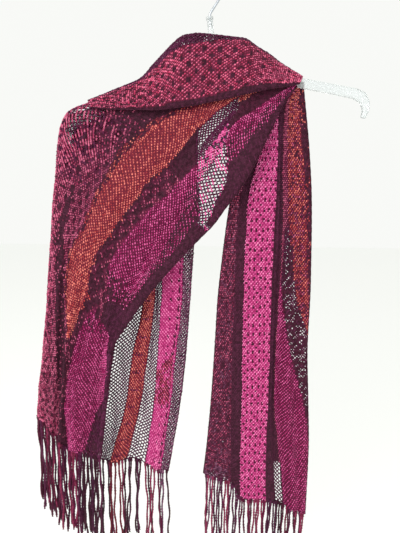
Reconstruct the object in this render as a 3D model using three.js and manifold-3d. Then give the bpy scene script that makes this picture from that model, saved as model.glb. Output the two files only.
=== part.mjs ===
// Openwork striped shawl draped over a hanger. Units are millimetres, +Z is up, +Y is away from the viewer.
// The origin is the inside top of the hook, where the rail bears.
import * as THREE from "three";
import { mergeVertices } from "three/addons/utils/BufferGeometryUtils.js";
import Module from "manifold-3d";

// Driving sizes
const CLOTH_THICKNESS = 1.6;        // the knit with its yarns lying over each other
const SEAM_GAP = 0.4;               // air left between two pieces that meet
const HEM_GAP = 1.2;                // and between a hem and its fringe band
const HANGER_THICKNESS = 8;         // front to back
const HANGER_BEVEL = 1.5;
const HANGER_TILT = 7;              // degrees, left arm low under the heavier side
const NECK_X = 6.4;                 // middle of the hanger's neck, across
const NECK_Z = -69.3;               // and its height under the rail
const BOSS_RADIUS = 4;              // socket that holds the wire
const BOSS_TOP = 20;
const BORE_RADIUS = 1.95;
const WIRE_RADIUS = 1.6;
const HOOK_RADIUS = 19;             // middle of the wire
const HOOK_CENTRE = 52.3;           // above the neck
const HOOK_END = 190;               // degrees, where the wire stops on the open side
const STRAND_RADIUS = 1.25;         // fringe strand, three-sided
const STRIP_HEIGHT = 5;             // knotted band that carries the fringe
const FRINGE_FRONT = { strands: 26, length: 150, step: 0.85 };
const FRINGE_BACK = { strands: 34, length: 152, step: 0.62 };
const FRINGE_RIGHT = { strands: 30, length: 152, step: 0.55 };

// Smooth curve through rising stations, without overshoot between them.
function smooth(stations, values) {
  const last = stations.length - 1;
  const run = [];
  for (let i = 0; i < last; i++) run.push((values[i + 1] - values[i]) / (stations[i + 1] - stations[i]));
  const slope = values.map((_, i) => {
    if (i === 0) return run[0];
    if (i === last) return run[last - 1];
    if (run[i - 1] * run[i] <= 0) return 0;
    return (2 * run[i - 1] * run[i]) / (run[i - 1] + run[i]);
  });
  return (at) => {
    let i = 0;
    while (i < last - 1 && at > stations[i + 1]) i++;
    const width = stations[i + 1] - stations[i];
    const t = Math.min(1, Math.max(0, (at - stations[i]) / width));
    const a = (1 + 2 * t) * (1 - t) * (1 - t);
    const b = t * (1 - t) * (1 - t);
    const c = t * t * (3 - 2 * t);
    const d = t * t * (t - 1);
    return a * values[i] + b * width * slope[i] + c * values[i + 1] + d * width * slope[i + 1];
  };
}

function ease(from, to, at) {
  const t = Math.min(1, Math.max(0, (at - from) / (to - from)));
  return t * t * (3 - 2 * t);
}

// Each stretch of cloth is a table of sections. A row is one section across the stripes, given as the
// places [x, z] where the lines between the stripes cross it, from the selvedge inwards, and the depth y
// at a few of these lines. "at" is the share of the way from the hanger to the hem.
const FRONT_LINES = ["selvedge", "plum", "net", "magenta", "dark net", "orange", "fold"];
const FRONT_SECTIONS = [
  { at: 0.00, xz: [[128, -134], [126, -132], [125, -130], [123, -128], [121, -126], [120, -124], [118, -121]],
    y: [-5.2, -5.2, -5.2, -5.2] },
  { at: 0.05, xz: [[108, -160], [97, -151], [89, -145], [82, -140], [77, -136], [67, -132], [59, -117]],
    y: [-14, -12, -10, -9] },
  { at: 0.12, xz: [[92, -195], [76, -185], [62, -173], [47, -164], [36, -157], [14, -147], [-1, -116]],
    y: [-19, -16, -12, -10] },
  { at: 0.20, xz: [[72, -239], [51, -228], [30, -213], [12, -197], [-2, -187], [-29, -165], [-60, -128]],
    y: [-21, -18, -12, -9] },
  { at: 0.28, xz: [[52, -275], [36, -270], [6, -254], [-19, -235], [-34, -225], [-69, -199], [-138, -160]],
    y: [-22, -19, -12, -6.5] },
  { at: 0.33, xz: [[31, -304], [18, -297], [-10, -281], [-38, -260], [-55, -248], [-92, -220], [-163, -165]],
    y: [-22, -20, -13, -3] },
  { at: 0.37, xz: [[15, -327], [4, -319], [-22, -302], [-52, -280], [-70, -266], [-110, -237], [-190, -178]],
    y: [-22, -20, -14, -0.6] },
  { at: 0.41, xz: [[-3, -346], [-15, -338], [-38, -322], [-67, -298], [-86, -284], [-124, -256], [-202, -206]],
    y: [-22, -20, -14, -0.5] },
  { at: 0.47, xz: [[-30, -375], [-44, -366], [-62, -351], [-90, -326], [-111, -312], [-146, -285], [-208, -249]],
    y: [-21, -20, -14, -0.5] },
  { at: 0.58, xz: [[-73, -426], [-88, -417], [-95, -407], [-128, -379], [-145, -364], [-175, -336], [-219, -334]],
    y: [-19, -20, -14, -0.5] },
  { at: 0.69, xz: [[-106, -473], [-119, -468], [-128, -460], [-154, -448], [-173, -436], [-198, -424], [-230, -439]],
    y: [-18, -20, -14, -0.5] },
  { at: 0.78, xz: [[-134, -524], [-140, -522], [-146, -520], [-179, -517], [-194, -512], [-207, -512], [-240, -519]],
    y: [-17, -18, -13, -0.5] },
  { at: 0.88, xz: [[-143, -603], [-151, -603], [-165, -603], [-199, -599], [-207, -596], [-214, -594], [-251, -594]],
    y: [-15, -16, -12, -0.5] },
  { at: 1.00, xz: [[-155, -704], [-164, -702], [-186, -695], [-207, -687], [-214, -680], [-223, -668], [-255, -632]],
    y: [-14, -15, -12, -0.5] },
];
const FRONT_DEPTH_LINES = [0, 3, 5.6, 6];

const BACK_LINES = ["selvedge", "plum", "pink", "net", "orange", "net", "fold"];
const BACK_SECTIONS = [
  { at: 0.00, xz: [[40, -86], [20, -84], [-5, -84], [-33, -95], [-60, -114], [-102, -150], [-189, -179]],
    y: [9.1, 9.1, 9.1, 0.8] },
  { at: 0.10, xz: [[8, -138], [-8, -138], [-32, -140], [-50, -146], [-74, -156], [-110, -176], [-199, -194]],
    y: [11, 11, 11, 0.8] },
  { at: 0.20, xz: [[-8, -202], [-26, -202], [-49, -203], [-63, -203], [-89, -204], [-120, -207], [-205, -214]],
    y: [12, 12, 11, 0.8] },
  { at: 0.40, xz: [[-10, -317], [-28, -317], [-55, -318], [-67, -318], [-92, -318], [-125, -319], [-216, -319]],
    y: [13, 13, 12, 0.8] },
  { at: 0.60, xz: [[-16, -449], [-30, -449], [-61, -450], [-72, -450], [-90, -450], [-127, -450], [-230, -439]],
    y: [13, 13, 12, 0.8] },
  { at: 0.74, xz: [[-22, -549], [-40, -549], [-67, -549], [-85, -549], [-108, -549], [-142, -549], [-241, -527]],
    y: [12, 13, 12, 0.8] },
  { at: 0.85, xz: [[-29, -620], [-46, -619], [-72, -619], [-95, -619], [-117, -619], [-151, -618], [-251, -594]],
    y: [11, 12, 11, 0.8] },
  { at: 1.00, xz: [[-48, -749], [-62, -747], [-87, -731], [-120, -725], [-146, -730], [-168, -720], [-256, -650]],
    y: [10, 11, 10, 0.8] },
];
const BACK_DEPTH_LINES = [0, 3, 5.6, 6];

const RIGHT_LINES = ["selvedge", "plum", "pink", "plum", "crease", "fold"];
const RIGHT_SECTIONS = [
  { at: 0.00, xz: [[115, -126], [118, -126], [121, -126], [126, -126], [129, -126], [139, -127]], y: [5.2, 5.2, 5.2] },
  { at: 0.06, xz: [[83, -168], [90, -168], [96, -168], [107, -167], [116, -167], [146, -166]], y: [7, 8, 6] },
  { at: 0.13, xz: [[59, -221], [72, -221], [84, -221], [109, -220], [118, -220], [155, -219]], y: [8, 9, 7] },
  { at: 0.24, xz: [[42, -293], [57, -293], [69, -293], [110, -292], [123, -292], [164, -291]], y: [8, 9, 8] },
  { at: 0.37, xz: [[32, -384], [53, -384], [67, -384], [110, -383], [126, -383], [170, -383]], y: [7, 8, 8] },
  { at: 0.46, xz: [[27, -447], [54, -447], [68, -447], [111, -447], [125, -447], [173, -447]], y: [6, 8, 8] },
  { at: 0.55, xz: [[25, -513], [53, -513], [69, -513], [113, -513], [125, -513], [174, -513]], y: [6, 8, 8] },
  { at: 0.70, xz: [[21, -617], [55, -617], [72, -617], [115, -618], [127, -618], [182, -618]], y: [6, 7, 7] },
  { at: 0.84, xz: [[15, -708], [57, -709], [73, -709], [116, -710], [139, -710], [189, -711]], y: [5, 6, 6] },
  { at: 1.00, xz: [[11, -748], [59, -770], [76, -796], [120, -803], [152, -818], [192, -835]], y: [4, 5, 5] },
];
const RIGHT_DEPTH_LINES = [0, 3, 5];

// The turned-over top runs along the hanger. A row is one section: the crest, the front rim and how far
// the rim stands forward.
const COLLAR_SECTIONS = [
  { at: 0.00, crest: [-161, -160.5], rim: [-154, -172], forward: 17 },
  { at: 0.06, crest: [-148, -155], rim: [-141, -173], forward: 18 },
  { at: 0.13, crest: [-129, -147], rim: [-123, -174], forward: 19 },
  { at: 0.20, crest: [-107, -138], rim: [-105, -174], forward: 21 },
  { at: 0.26, crest: [-87, -128], rim: [-86, -174], forward: 23 },
  { at: 0.32, crest: [-72, -112], rim: [-73, -174], forward: 24 },
  { at: 0.37, crest: [-59, -98], rim: [-59, -173], forward: 25 },
  { at: 0.42, crest: [-44, -83], rim: [-46, -171], forward: 25 },
  { at: 0.47, crest: [-30, -73], rim: [-31, -169], forward: 25 },
  { at: 0.53, crest: [-11, -70], rim: [-13, -166], forward: 25 },
  { at: 0.59, crest: [8, -71], rim: [4, -162], forward: 25 },
  { at: 0.65, crest: [30, -72], rim: [23, -158], forward: 25 },
  { at: 0.71, crest: [52, -74], rim: [43, -153], forward: 25 },
  { at: 0.77, crest: [69, -83], rim: [61, -148], forward: 24 },
  { at: 0.83, crest: [86, -92], rim: [78, -144], forward: 23 },
  { at: 0.89, crest: [103, -103], rim: [96, -140], forward: 20 },
  { at: 0.95, crest: [119, -111], rim: [111, -137], forward: 15 },
  { at: 1.00, crest: [136, -120], rim: [130, -132], forward: 10 },
];
const COLLAR_CREST_Y = -1;
const COLLAR_BACK_DROP = 14;
const COLLAR_BACK_Y = 11.6;

// Long folds that run with the stripes. "line" is where a fold lies across the cloth, "out" how far it
// stands towards the viewer, "wide" its spread across, "from" and "to" where along the cloth it grows in.
const FRONT_FOLDS = [
  { line: 0.55, out: 3.5, wide: 0.45, from: 0.04, to: 0.22 },
  { line: 1.50, out: -3.0, wide: 0.50, from: 0.10, to: 0.30 },
  { line: 2.50, out: 4.5, wide: 0.50, from: 0.06, to: 0.26 },
  { line: 3.50, out: -4.0, wide: 0.40, from: 0.08, to: 0.30 },
  { line: 4.45, out: 4.0, wide: 0.45, from: 0.06, to: 0.30 },
  { line: 5.05, out: -4.0, wide: 0.22, from: 0.45, to: 0.72 },
  { line: 5.35, out: 3.0, wide: 0.15, from: 0.55, to: 0.78 },
];
const BACK_FOLDS = [
  { line: 0.50, out: -2.5, wide: 0.45, from: 0.15, to: 0.5 },
  { line: 1.50, out: 4.0, wide: 0.50, from: 0.15, to: 0.5 },
  { line: 2.50, out: -3.0, wide: 0.45, from: 0.20, to: 0.6 },
  { line: 3.50, out: 4.0, wide: 0.50, from: 0.20, to: 0.6 },
  { line: 4.50, out: -3.0, wide: 0.45, from: 0.20, to: 0.6 },
];
const RIGHT_FOLDS = [
  { line: 0.40, out: 2.0, wide: 0.50, from: 0.10, to: 0.4 },
  { line: 1.30, out: -3.0, wide: 0.40, from: 0.06, to: 0.3 },
  { line: 2.50, out: 5.0, wide: 0.60, from: 0.04, to: 0.2 },
  { line: 3.85, out: -8.0, wide: 0.35, from: 0.03, to: 0.2 },
  { line: 4.45, out: 5.0, wide: 0.30, from: 0.04, to: 0.2 },
];
const COLLAR_FOLDS = [
  { rise: 0.40, out: 1.6, wide: 0.10 },
  { rise: 0.72, out: -1.4, wide: 0.08 },
  { rise: 0.90, out: 1.8, wide: 0.06 },
];

// Middle surface of a hanging stretch: (line, along) to a place.
function stretch(sections, depthLines, folds, turn) {
  const stations = sections.map((s) => s.at);
  const lines = sections[0].xz.map((_, i) => i);
  const across = lines.map((i) => [
    smooth(stations, sections.map((s) => s.xz[i][0])),
    smooth(stations, sections.map((s) => s.xz[i][1])),
  ]);
  const depths = depthLines.map((_, i) => smooth(stations, sections.map((s) => s.y[i])));
  const flat = (line, along) => {
    const x = smooth(lines, across.map((f) => f[0](along)))(line);
    const z = smooth(lines, across.map((f) => f[1](along)))(line);
    let y = smooth(depthLines, depths.map((f) => f(along)))(line);
    for (const fold of folds) {
      const spread = (line - fold.line) / fold.wide;
      y -= fold.out * ease(fold.from, fold.to, along) * Math.exp(-spread * spread);
    }
    return new THREE.Vector3(x, y, z);
  };
  const edge = lines.length - 1;
  return (line, along) => {
    if (!turn || line <= edge - turn) return flat(line, along);
    // The last strip rolls round into the fold, a quarter turn seen from above.
    const angle = ((edge - line) / turn) * (Math.PI / 2);
    const end = flat(edge, along);
    const start = flat(edge - turn, along);
    const inward = 1 - Math.cos(angle);
    return new THREE.Vector3(
      end.x + (start.x - end.x) * inward,
      end.y + (start.y - end.y) * Math.sin(angle),
      end.z + (start.z - end.z) * inward,
    );
  };
}

function collar(part, along) {
  // part runs from -1 at the hidden back edge through 0 at the crest to 1 at the front rim.
  const stations = COLLAR_SECTIONS.map((s) => s.at);
  const value = (pick) => smooth(stations, COLLAR_SECTIONS.map(pick))(along);
  const crest = [value((s) => s.crest[0]), value((s) => s.crest[1]) - CLOTH_THICKNESS / 2];
  const rim = [value((s) => s.rim[0]), value((s) => s.rim[1])];
  const angle = Math.abs(part) * (Math.PI / 2);
  const fall = 1 - Math.cos(angle);
  if (part < 0) {
    const y = COLLAR_CREST_Y + (COLLAR_BACK_Y - COLLAR_CREST_Y) * Math.sin(angle);
    return new THREE.Vector3(crest[0], y, crest[1] - COLLAR_BACK_DROP * fall);
  }
  let y = COLLAR_CREST_Y - (value((s) => s.forward) + COLLAR_CREST_Y) * Math.sin(angle);
  const middle = ease(0.1, 0.35, along) * (1 - ease(0.75, 0.95, along));
  for (const fold of COLLAR_FOLDS) {
    const spread = (fall - fold.rise) / fold.wide;
    y -= fold.out * middle * Math.exp(-spread * spread);
  }
  return new THREE.Vector3(crest[0] + (rim[0] - crest[0]) * fall, y, crest[1] + (rim[1] - crest[1]) * fall);
}

// Closed wall on both sides of a middle surface given as a grid of places.
function wall(grid) {
  const rows = grid.length;
  const columns = grid[0].length;
  const normal = (r, c) => {
    const a = grid[r][Math.min(c + 1, columns - 1)].clone().sub(grid[r][Math.max(c - 1, 0)]);
    const b = grid[Math.min(r + 1, rows - 1)][c].clone().sub(grid[Math.max(r - 1, 0)][c]);
    return a.cross(b).normalize();
  };
  const points = [];
  for (const side of [1, -1]) {
    for (let r = 0; r < rows; r++) {
      for (let c = 0; c < columns; c++) {
        points.push(grid[r][c].clone().addScaledVector(normal(r, c), (side * CLOTH_THICKNESS) / 2));
      }
    }
  }
  const half = rows * columns;
  const faces = [];
  const quad = (a, b, c, d) => faces.push(a, b, c, a, c, d);
  for (let r = 0; r < rows - 1; r++) {
    for (let c = 0; c < columns - 1; c++) {
      const a = r * columns + c;
      quad(a, a + 1, a + 1 + columns, a + columns);
      quad(half + a, half + a + columns, half + a + 1 + columns, half + a + 1);
    }
  }
  for (let c = 0; c < columns - 1; c++) {
    const low = (rows - 1) * columns + c;
    quad(c, half + c, half + c + 1, c + 1);
    quad(low, low + 1, half + low + 1, half + low);
  }
  for (let r = 0; r < rows - 1; r++) {
    const left = r * columns;
    const right = left + columns - 1;
    quad(left, left + columns, half + left + columns, half + left);
    quad(right, half + right, half + right + columns, right + columns);
  }
  const geometry = new THREE.BufferGeometry();
  geometry.setAttribute("position", new THREE.Float32BufferAttribute(points.flatMap((p) => [p.x, p.y, p.z]), 3));
  geometry.setIndex(faces);
  return geometry;
}

function steps(from, to, count) {
  return Array.from({ length: count + 1 }, (_, i) => from + ((to - from) * i) / count);
}

function sheet(surface, lineSteps, alongSteps) {
  return wall(alongSteps.map((along) => lineSteps.map((line) => surface(line, along))));
}

// Boolean joins and cuts
const wasm = await Module();
wasm.setup();

function toSolid(geometry) {
  const bare = geometry.clone();
  bare.deleteAttribute("normal");
  bare.deleteAttribute("uv");
  const welded = mergeVertices(bare, 1e-4);
  const mesh = new wasm.Mesh({
    numProp: 3,
    vertProperties: new Float32Array(welded.attributes.position.array),
    triVerts: new Uint32Array(welded.index.array),
  });
  return new wasm.Manifold(mesh);
}

function toGeometry(solid) {
  const mesh = solid.getMesh();
  const geometry = new THREE.BufferGeometry();
  const places = new Float32Array(mesh.numVert * 3);
  for (let i = 0; i < mesh.numVert; i++) {
    for (let k = 0; k < 3; k++) places[i * 3 + k] = mesh.vertProperties[i * mesh.numProp + k];
  }
  geometry.setAttribute("position", new THREE.BufferAttribute(places, 3));
  geometry.setIndex(new THREE.BufferAttribute(new Uint32Array(mesh.triVerts), 1));
  return geometry;
}

// Hanger's own frame: x along the arms, z up its middle, tilted about the neck.
const tilt = THREE.MathUtils.degToRad(HANGER_TILT);
const hangerFrame = new THREE.Matrix4()
  .makeTranslation(NECK_X, 0, NECK_Z)
  .multiply(new THREE.Matrix4().makeRotationY(-tilt));

// Half outline of the hanger from the middle of the neck to the arm's end and back along the underside.
const HANGER_TOP = [[30, -9.5], [42, -15.5], [60, -29], [80, -46], [100, -61], [121, -68.6], [160, -79], [199, -89.5],
  [211, -96], [216.5, -108], [216, -121], [210, -131]];
const HANGER_UNDER = [[205, -129], [207, -119], [204, -109], [194, -102.5], [160, -92.5], [122, -82], [98, -75],
  [76, -60], [56, -43], [40, -34], [18, -31]];

function hangerBody() {
  const right = [...HANGER_TOP, ...HANGER_UNDER];
  const left = right.map(([x, z]) => [-x, z]).reverse();
  const inset = HANGER_BEVEL;
  const shape = new THREE.Shape([...right, ...left].map(([x, z]) => new THREE.Vector2(x, z)));
  const bar = new THREE.ExtrudeGeometry(shape, {
    depth: HANGER_THICKNESS - 2 * inset,
    bevelEnabled: true,
    bevelThickness: inset,
    bevelSize: inset,
    bevelOffset: -inset,
    bevelSegments: 2,
    curveSegments: 1,
  });
  bar.translate(0, 0, -(HANGER_THICKNESS / 2 - inset));
  bar.rotateX(Math.PI / 2);
  const round = 20;
  const bossHeight = BOSS_TOP + 22;
  const boss = new THREE.CylinderGeometry(BOSS_RADIUS, BOSS_RADIUS, bossHeight, round);
  boss.rotateX(Math.PI / 2);
  boss.translate(0, 0, BOSS_TOP - bossHeight / 2);
  const collarRing = new THREE.CylinderGeometry(BOSS_RADIUS + 1, BOSS_RADIUS + 1, 3, round);
  collarRing.rotateX(Math.PI / 2);
  collarRing.translate(0, 0, BOSS_TOP - 1.5);
  const boreDepth = 14;
  const bore = new THREE.CylinderGeometry(BORE_RADIUS, BORE_RADIUS, boreDepth, 16);
  bore.rotateX(Math.PI / 2);
  bore.translate(0, 0, BOSS_TOP + 1 - boreDepth / 2);
  const solid = toSolid(bar).add(toSolid(boss)).add(toSolid(collarRing)).subtract(toSolid(bore));
  return toGeometry(solid).applyMatrix4(hangerFrame);
}

function hangerHook() {
  const start = BOSS_TOP + 1 - 14 + SEAM_GAP;
  const path = new THREE.CurvePath();
  const at = (x, z) => new THREE.Vector3(x, 0, z);
  const lean = Math.asin(HOOK_RADIUS / (HOOK_CENTRE - BOSS_TOP - 3));
  const touch = at(HOOK_RADIUS * Math.cos(lean), HOOK_CENTRE - HOOK_RADIUS * Math.sin(lean));
  const bend = at(0, BOSS_TOP + 3);
  const away = touch.clone().sub(bend).normalize();
  path.add(new THREE.LineCurve3(at(0, start), at(0, BOSS_TOP)));
  path.add(new THREE.QuadraticBezierCurve3(at(0, BOSS_TOP), bend, bend.clone().addScaledVector(away, 4)));
  path.add(new THREE.LineCurve3(bend.clone().addScaledVector(away, 4), touch));
  const first = -lean;
  const last = THREE.MathUtils.degToRad(HOOK_END);
  const places = [];
  for (const s of steps(0, BOSS_TOP - start, 3).slice(0, 3)) places.push(at(0, start + s));
  for (const t of steps(0, 1, 4)) places.push(path.curves[1].getPoint(t));
  for (const t of steps(0, 1, 3).slice(1)) places.push(path.curves[2].getPoint(t));
  for (const a of steps(first, last, 30).slice(1)) {
    places.push(at(HOOK_RADIUS * Math.cos(a), HOOK_CENTRE + HOOK_RADIUS * Math.sin(a)));
  }
  const sides = 12;
  const points = [];
  places.forEach((p, i) => {
    const ahead = places[Math.min(i + 1, places.length - 1)].clone().sub(places[Math.max(i - 1, 0)]).normalize();
    const out = new THREE.Vector3(ahead.z, 0, -ahead.x);
    for (let k = 0; k < sides; k++) {
      const a = (k / sides) * 2 * Math.PI;
      const place = p.clone().addScaledVector(out, WIRE_RADIUS * Math.cos(a));
      place.y += WIRE_RADIUS * Math.sin(a);
      points.push(place);
    }
  });
  return tube(points, sides, places.length, places[0], places[places.length - 1]).applyMatrix4(hangerFrame);
}

// Closed tube from rings of equal count, capped at both ends.
function tube(points, sides, rings, head, foot) {
  const faces = [];
  for (let r = 0; r < rings - 1; r++) {
    for (let k = 0; k < sides; k++) {
      const a = r * sides + k;
      const b = r * sides + ((k + 1) % sides);
      faces.push(a, a + sides, b + sides, a, b + sides, b);
    }
  }
  const first = points.length;
  const all = [...points, head, foot];
  const low = (rings - 1) * sides;
  for (let k = 0; k < sides; k++) {
    faces.push(first, k, (k + 1) % sides);
    faces.push(first + 1, low + ((k + 1) % sides), low + k);
  }
  const geometry = new THREE.BufferGeometry();
  geometry.setAttribute("position", new THREE.Float32BufferAttribute(all.flatMap((p) => [p.x, p.y, p.z]), 3));
  geometry.setIndex(faces);
  return outward(geometry);
}

// Turns a closed shape's faces outwards.
function outward(geometry) {
  const p = geometry.attributes.position;
  const index = geometry.index.array;
  const v = [new THREE.Vector3(), new THREE.Vector3(), new THREE.Vector3()];
  let volume = 0;
  for (let i = 0; i < index.length; i += 3) {
    for (let k = 0; k < 3; k++) v[k].fromBufferAttribute(p, index[i + k]);
    volume += v[0].dot(v[1].clone().cross(v[2]));
  }
  if (volume < 0) {
    for (let i = 0; i < index.length; i += 3) [index[i + 1], index[i + 2]] = [index[i + 2], index[i + 1]];
  }
  return geometry;
}

// Fringe: a narrow band under the hem and strands that fall from it, apart from each other.
function fringe(surface, lineSteps, spec) {
  const hem = lineSteps.map((line) => surface(line, 1));
  const slopeDrop = (i) => {
    const a = hem[Math.max(i - 1, 0)];
    const b = hem[Math.min(i + 1, hem.length - 1)];
    const level = Math.hypot(b.x - a.x, b.y - a.y);
    return HEM_GAP * Math.min(8, Math.hypot(level, b.z - a.z) / Math.max(level, 0.01));
  };
  const lowered = (i, by) => hem[i].clone().add(new THREE.Vector3(0, 0, -by));
  const band = wall([
    hem.map((_, i) => lowered(i, slopeDrop(i))),
    hem.map((_, i) => lowered(i, slopeDrop(i) + STRIP_HEIGHT)),
  ]);
  let solid = toSolid(outward(band));
  // Equal spacing along the hem's run.
  const run = [0];
  for (let i = 1; i < hem.length; i++) run.push(run[i - 1] + Math.hypot(hem[i].x - hem[i - 1].x, hem[i].y - hem[i - 1].y));
  const total = run[run.length - 1];
  const place = (s) => new THREE.Vector3(
    smooth(run, hem.map((p) => p.x))(s), smooth(run, hem.map((p) => p.y))(s), smooth(run, hem.map((p) => p.z))(s));
  const levels = 4;
  for (let n = 0; n < spec.strands; n++) {
    const share = (n + 0.5) / spec.strands;
    const root = place(2 + (total - 4) * share);
    const swing = n * spec.step;
    const long = spec.length * (1 + 0.05 * Math.sin(n * 1.7) + 0.03 * Math.sin(n * 0.63));
    const side = n % 2 === 0 ? 1 : -1;
    const points = [];
    const centres = [];
    for (let r = 0; r <= levels; r++) {
      const t = r / levels;
      const down = t * long + STRIP_HEIGHT * 0.6;
      const centre = root.clone();
      centre.z -= down;
      centre.x += 1.1 * t * Math.sin(swing * 0.5 + 5 * t) + 2.5 * t * Math.sin(share * 6 + 3 * t);
      centre.y += side * 2.4 * Math.min(1, t * 2.5) + 1.0 * t * Math.sin(swing + 4 * t);
      const radius = STRAND_RADIUS * (r === 0 || r === levels ? 0.6 : 1);
      for (let k = 0; k < 3; k++) {
        const a = (k / 3) * 2 * Math.PI - Math.PI / 2;
        points.push(centre.clone().add(new THREE.Vector3(radius * Math.cos(a), radius * Math.sin(a), 0)));
      }
      centres.push(centre);
    }
    const faces = [];
    for (let r = 0; r < levels; r++) {
      for (let k = 0; k < 3; k++) {
        const a = r * 3 + k;
        const b = r * 3 + ((k + 1) % 3);
        faces.push(a, a + 3, b + 3, a, b + 3, b);
      }
    }
    faces.push(0, 1, 2, levels * 3, levels * 3 + 2, levels * 3 + 1);
    const geometry = new THREE.BufferGeometry();
    geometry.setAttribute("position", new THREE.Float32BufferAttribute(points.flatMap((p) => [p.x, p.y, p.z]), 3));
    geometry.setIndex(faces);
    solid = solid.add(toSolid(outward(geometry)));
  }
  return toGeometry(solid);
}

const frontSurface = stretch(FRONT_SECTIONS, FRONT_DEPTH_LINES, FRONT_FOLDS, 0.3);
const backSurface = stretch(BACK_SECTIONS, BACK_DEPTH_LINES, BACK_FOLDS, 0.3);
const rightSurface = stretch(RIGHT_SECTIONS, RIGHT_DEPTH_LINES, RIGHT_FOLDS, 0);
const frontLines = [...steps(0, FRONT_LINES.length - 1.3, 22), 5.78, 5.86, 5.93, FRONT_LINES.length - 1];
const backLines = [...steps(0, BACK_LINES.length - 1.3, 18), 5.8, 5.9, BACK_LINES.length - 1];
const rightLines = steps(0, RIGHT_LINES.length - 1, 24);

// The collar has a hole at its crest for the hanger's socket.
function collarSolid() {
  const cloth = sheet(collar, steps(-1, 1, 14), steps(0, 1, 28));
  const hole = new THREE.CylinderGeometry(BOSS_RADIUS + 1.6, BOSS_RADIUS + 1.6, 30, 16);
  hole.rotateX(Math.PI / 2);
  hole.applyMatrix4(hangerFrame);
  return toGeometry(toSolid(outward(cloth)).subtract(toSolid(hole)));
}

const group = new THREE.Group();
function add(name, geometry, colour, roughness, metalness) {
  geometry.computeVertexNormals();
  const material = new THREE.MeshStandardMaterial({ color: colour, roughness, metalness });
  material.name = name;
  const mesh = new THREE.Mesh(geometry, material);
  mesh.name = name;
  group.add(mesh);
}

add("hanger_body", hangerBody(), 0xe9edec, 0.2, 0);
add("hanger_hook", hangerHook(), 0xc8ccd0, 0.25, 1);
add("shawl_collar", collarSolid(), 0xa8315f, 0.85, 0);
add("shawl_front_swag", outward(sheet(frontSurface, frontLines, steps(0, 1, 30))), 0x8c2a52, 0.85, 0);
add("shawl_back_left", outward(sheet(backSurface, backLines, steps(0, 1, 20))), 0xa03a5c, 0.85, 0);
add("shawl_right_end", outward(sheet(rightSurface, rightLines, steps(0, 1, 24))), 0xb0376c, 0.85, 0);
add("fringe_front_left", fringe(frontSurface, frontLines, FRINGE_FRONT), 0x6f2340, 0.9, 0);
add("fringe_back_left", fringe(backSurface, backLines, FRINGE_BACK), 0x7a2c48, 0.9, 0);
add("fringe_right", fringe(rightSurface, rightLines, FRINGE_RIGHT), 0x7d2848, 0.9, 0);

export default group;
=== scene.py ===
# %% [markdown]
# # A striped openwork shawl on a hanger
#
# This lesson dresses a plain CAD frame of a shawl with real knitting. The frame gives nine closed solids.
# We keep the hanger and its hook, and put net, crochet and yarn fringes where the cloth solids are.
# A cloth simulation could hang the shawl too, but it would not hang like this one. The knitting follows the
# sections that shape the solids instead, so it stays inside the space that they take up.
# Everything is in metres, in the frame's own axes: X to the right, Y away from the viewer, Z up.

# %% load the frame
import math

import bpy
import numpy as np
from mathutils import Matrix, Vector


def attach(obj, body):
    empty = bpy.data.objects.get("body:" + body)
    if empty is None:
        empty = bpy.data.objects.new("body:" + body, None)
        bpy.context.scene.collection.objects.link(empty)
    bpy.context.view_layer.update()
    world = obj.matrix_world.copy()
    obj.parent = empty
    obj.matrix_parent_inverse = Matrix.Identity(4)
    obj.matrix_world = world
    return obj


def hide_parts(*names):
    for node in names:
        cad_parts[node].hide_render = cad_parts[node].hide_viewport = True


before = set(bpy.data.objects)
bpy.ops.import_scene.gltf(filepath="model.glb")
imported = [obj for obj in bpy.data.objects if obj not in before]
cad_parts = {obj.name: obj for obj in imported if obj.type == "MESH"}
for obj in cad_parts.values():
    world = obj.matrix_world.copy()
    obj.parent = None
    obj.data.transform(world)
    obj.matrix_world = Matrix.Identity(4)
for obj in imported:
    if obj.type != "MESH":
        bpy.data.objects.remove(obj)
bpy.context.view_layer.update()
MM = 0.001
print("nodes", sorted(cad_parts))

# %% [markdown]
# ## Where the camera stands
#
# The photograph looks taken with a phone, close to the shawl and below its hanger, looking slightly down.
# A close camera makes the cloth's lower end look smaller, so the distance matters as much as the angle.
# A tracking constraint could aim the camera, but it keeps the picture level. A phone held in the hand rolls
# a little, so three named angles are used.

# %% camera position
PITCH = math.radians(11.6)      # looking down
TURN = math.radians(-3.4)       # about the upright axis
ROLL = math.radians(1.2)        # clockwise
EYE = Vector((-0.0397, -0.635, -0.2627))


def camera_matrix():
    """The camera's place and direction, from its eye and its three angles."""
    ca, sa, ce, se = math.cos(TURN), math.sin(TURN), math.cos(PITCH), math.sin(PITCH)
    back = Vector((sa * ce, -ca * ce, se))
    right = Vector((ca, sa, 0))
    up = back.cross(right)
    turned_right = right * math.cos(ROLL) + up * math.sin(ROLL)
    turned_up = up * math.cos(ROLL) - right * math.sin(ROLL)
    matrix = Matrix((turned_right, turned_up, back)).transposed().to_4x4()
    matrix.translation = EYE
    return matrix


print("the camera looks along", [round(-v, 3) for v in camera_matrix().col[2][:3]])

# %% [markdown]
# ## The lens
#
# Blender wants a lens in millimetres and the width of the sensor behind it. A photograph gives its focal
# length more easily in pixels, so the lens is worked out from that and from the picture's longer side.

# %% camera
FOCAL_PIXELS = 430
PICTURE_HEIGHT = 533
SENSOR_MM = 36

camera_data = bpy.data.cameras.new("photo_camera")
camera_data.sensor_width = SENSOR_MM
camera_data.lens = SENSOR_MM * FOCAL_PIXELS / PICTURE_HEIGHT
camera = bpy.data.objects.new("photo_camera", camera_data)
bpy.context.scene.collection.objects.link(camera)
camera.matrix_world = camera_matrix()
bpy.context.scene.camera = camera
print("lens %.1f mm" % camera_data.lens)
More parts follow.
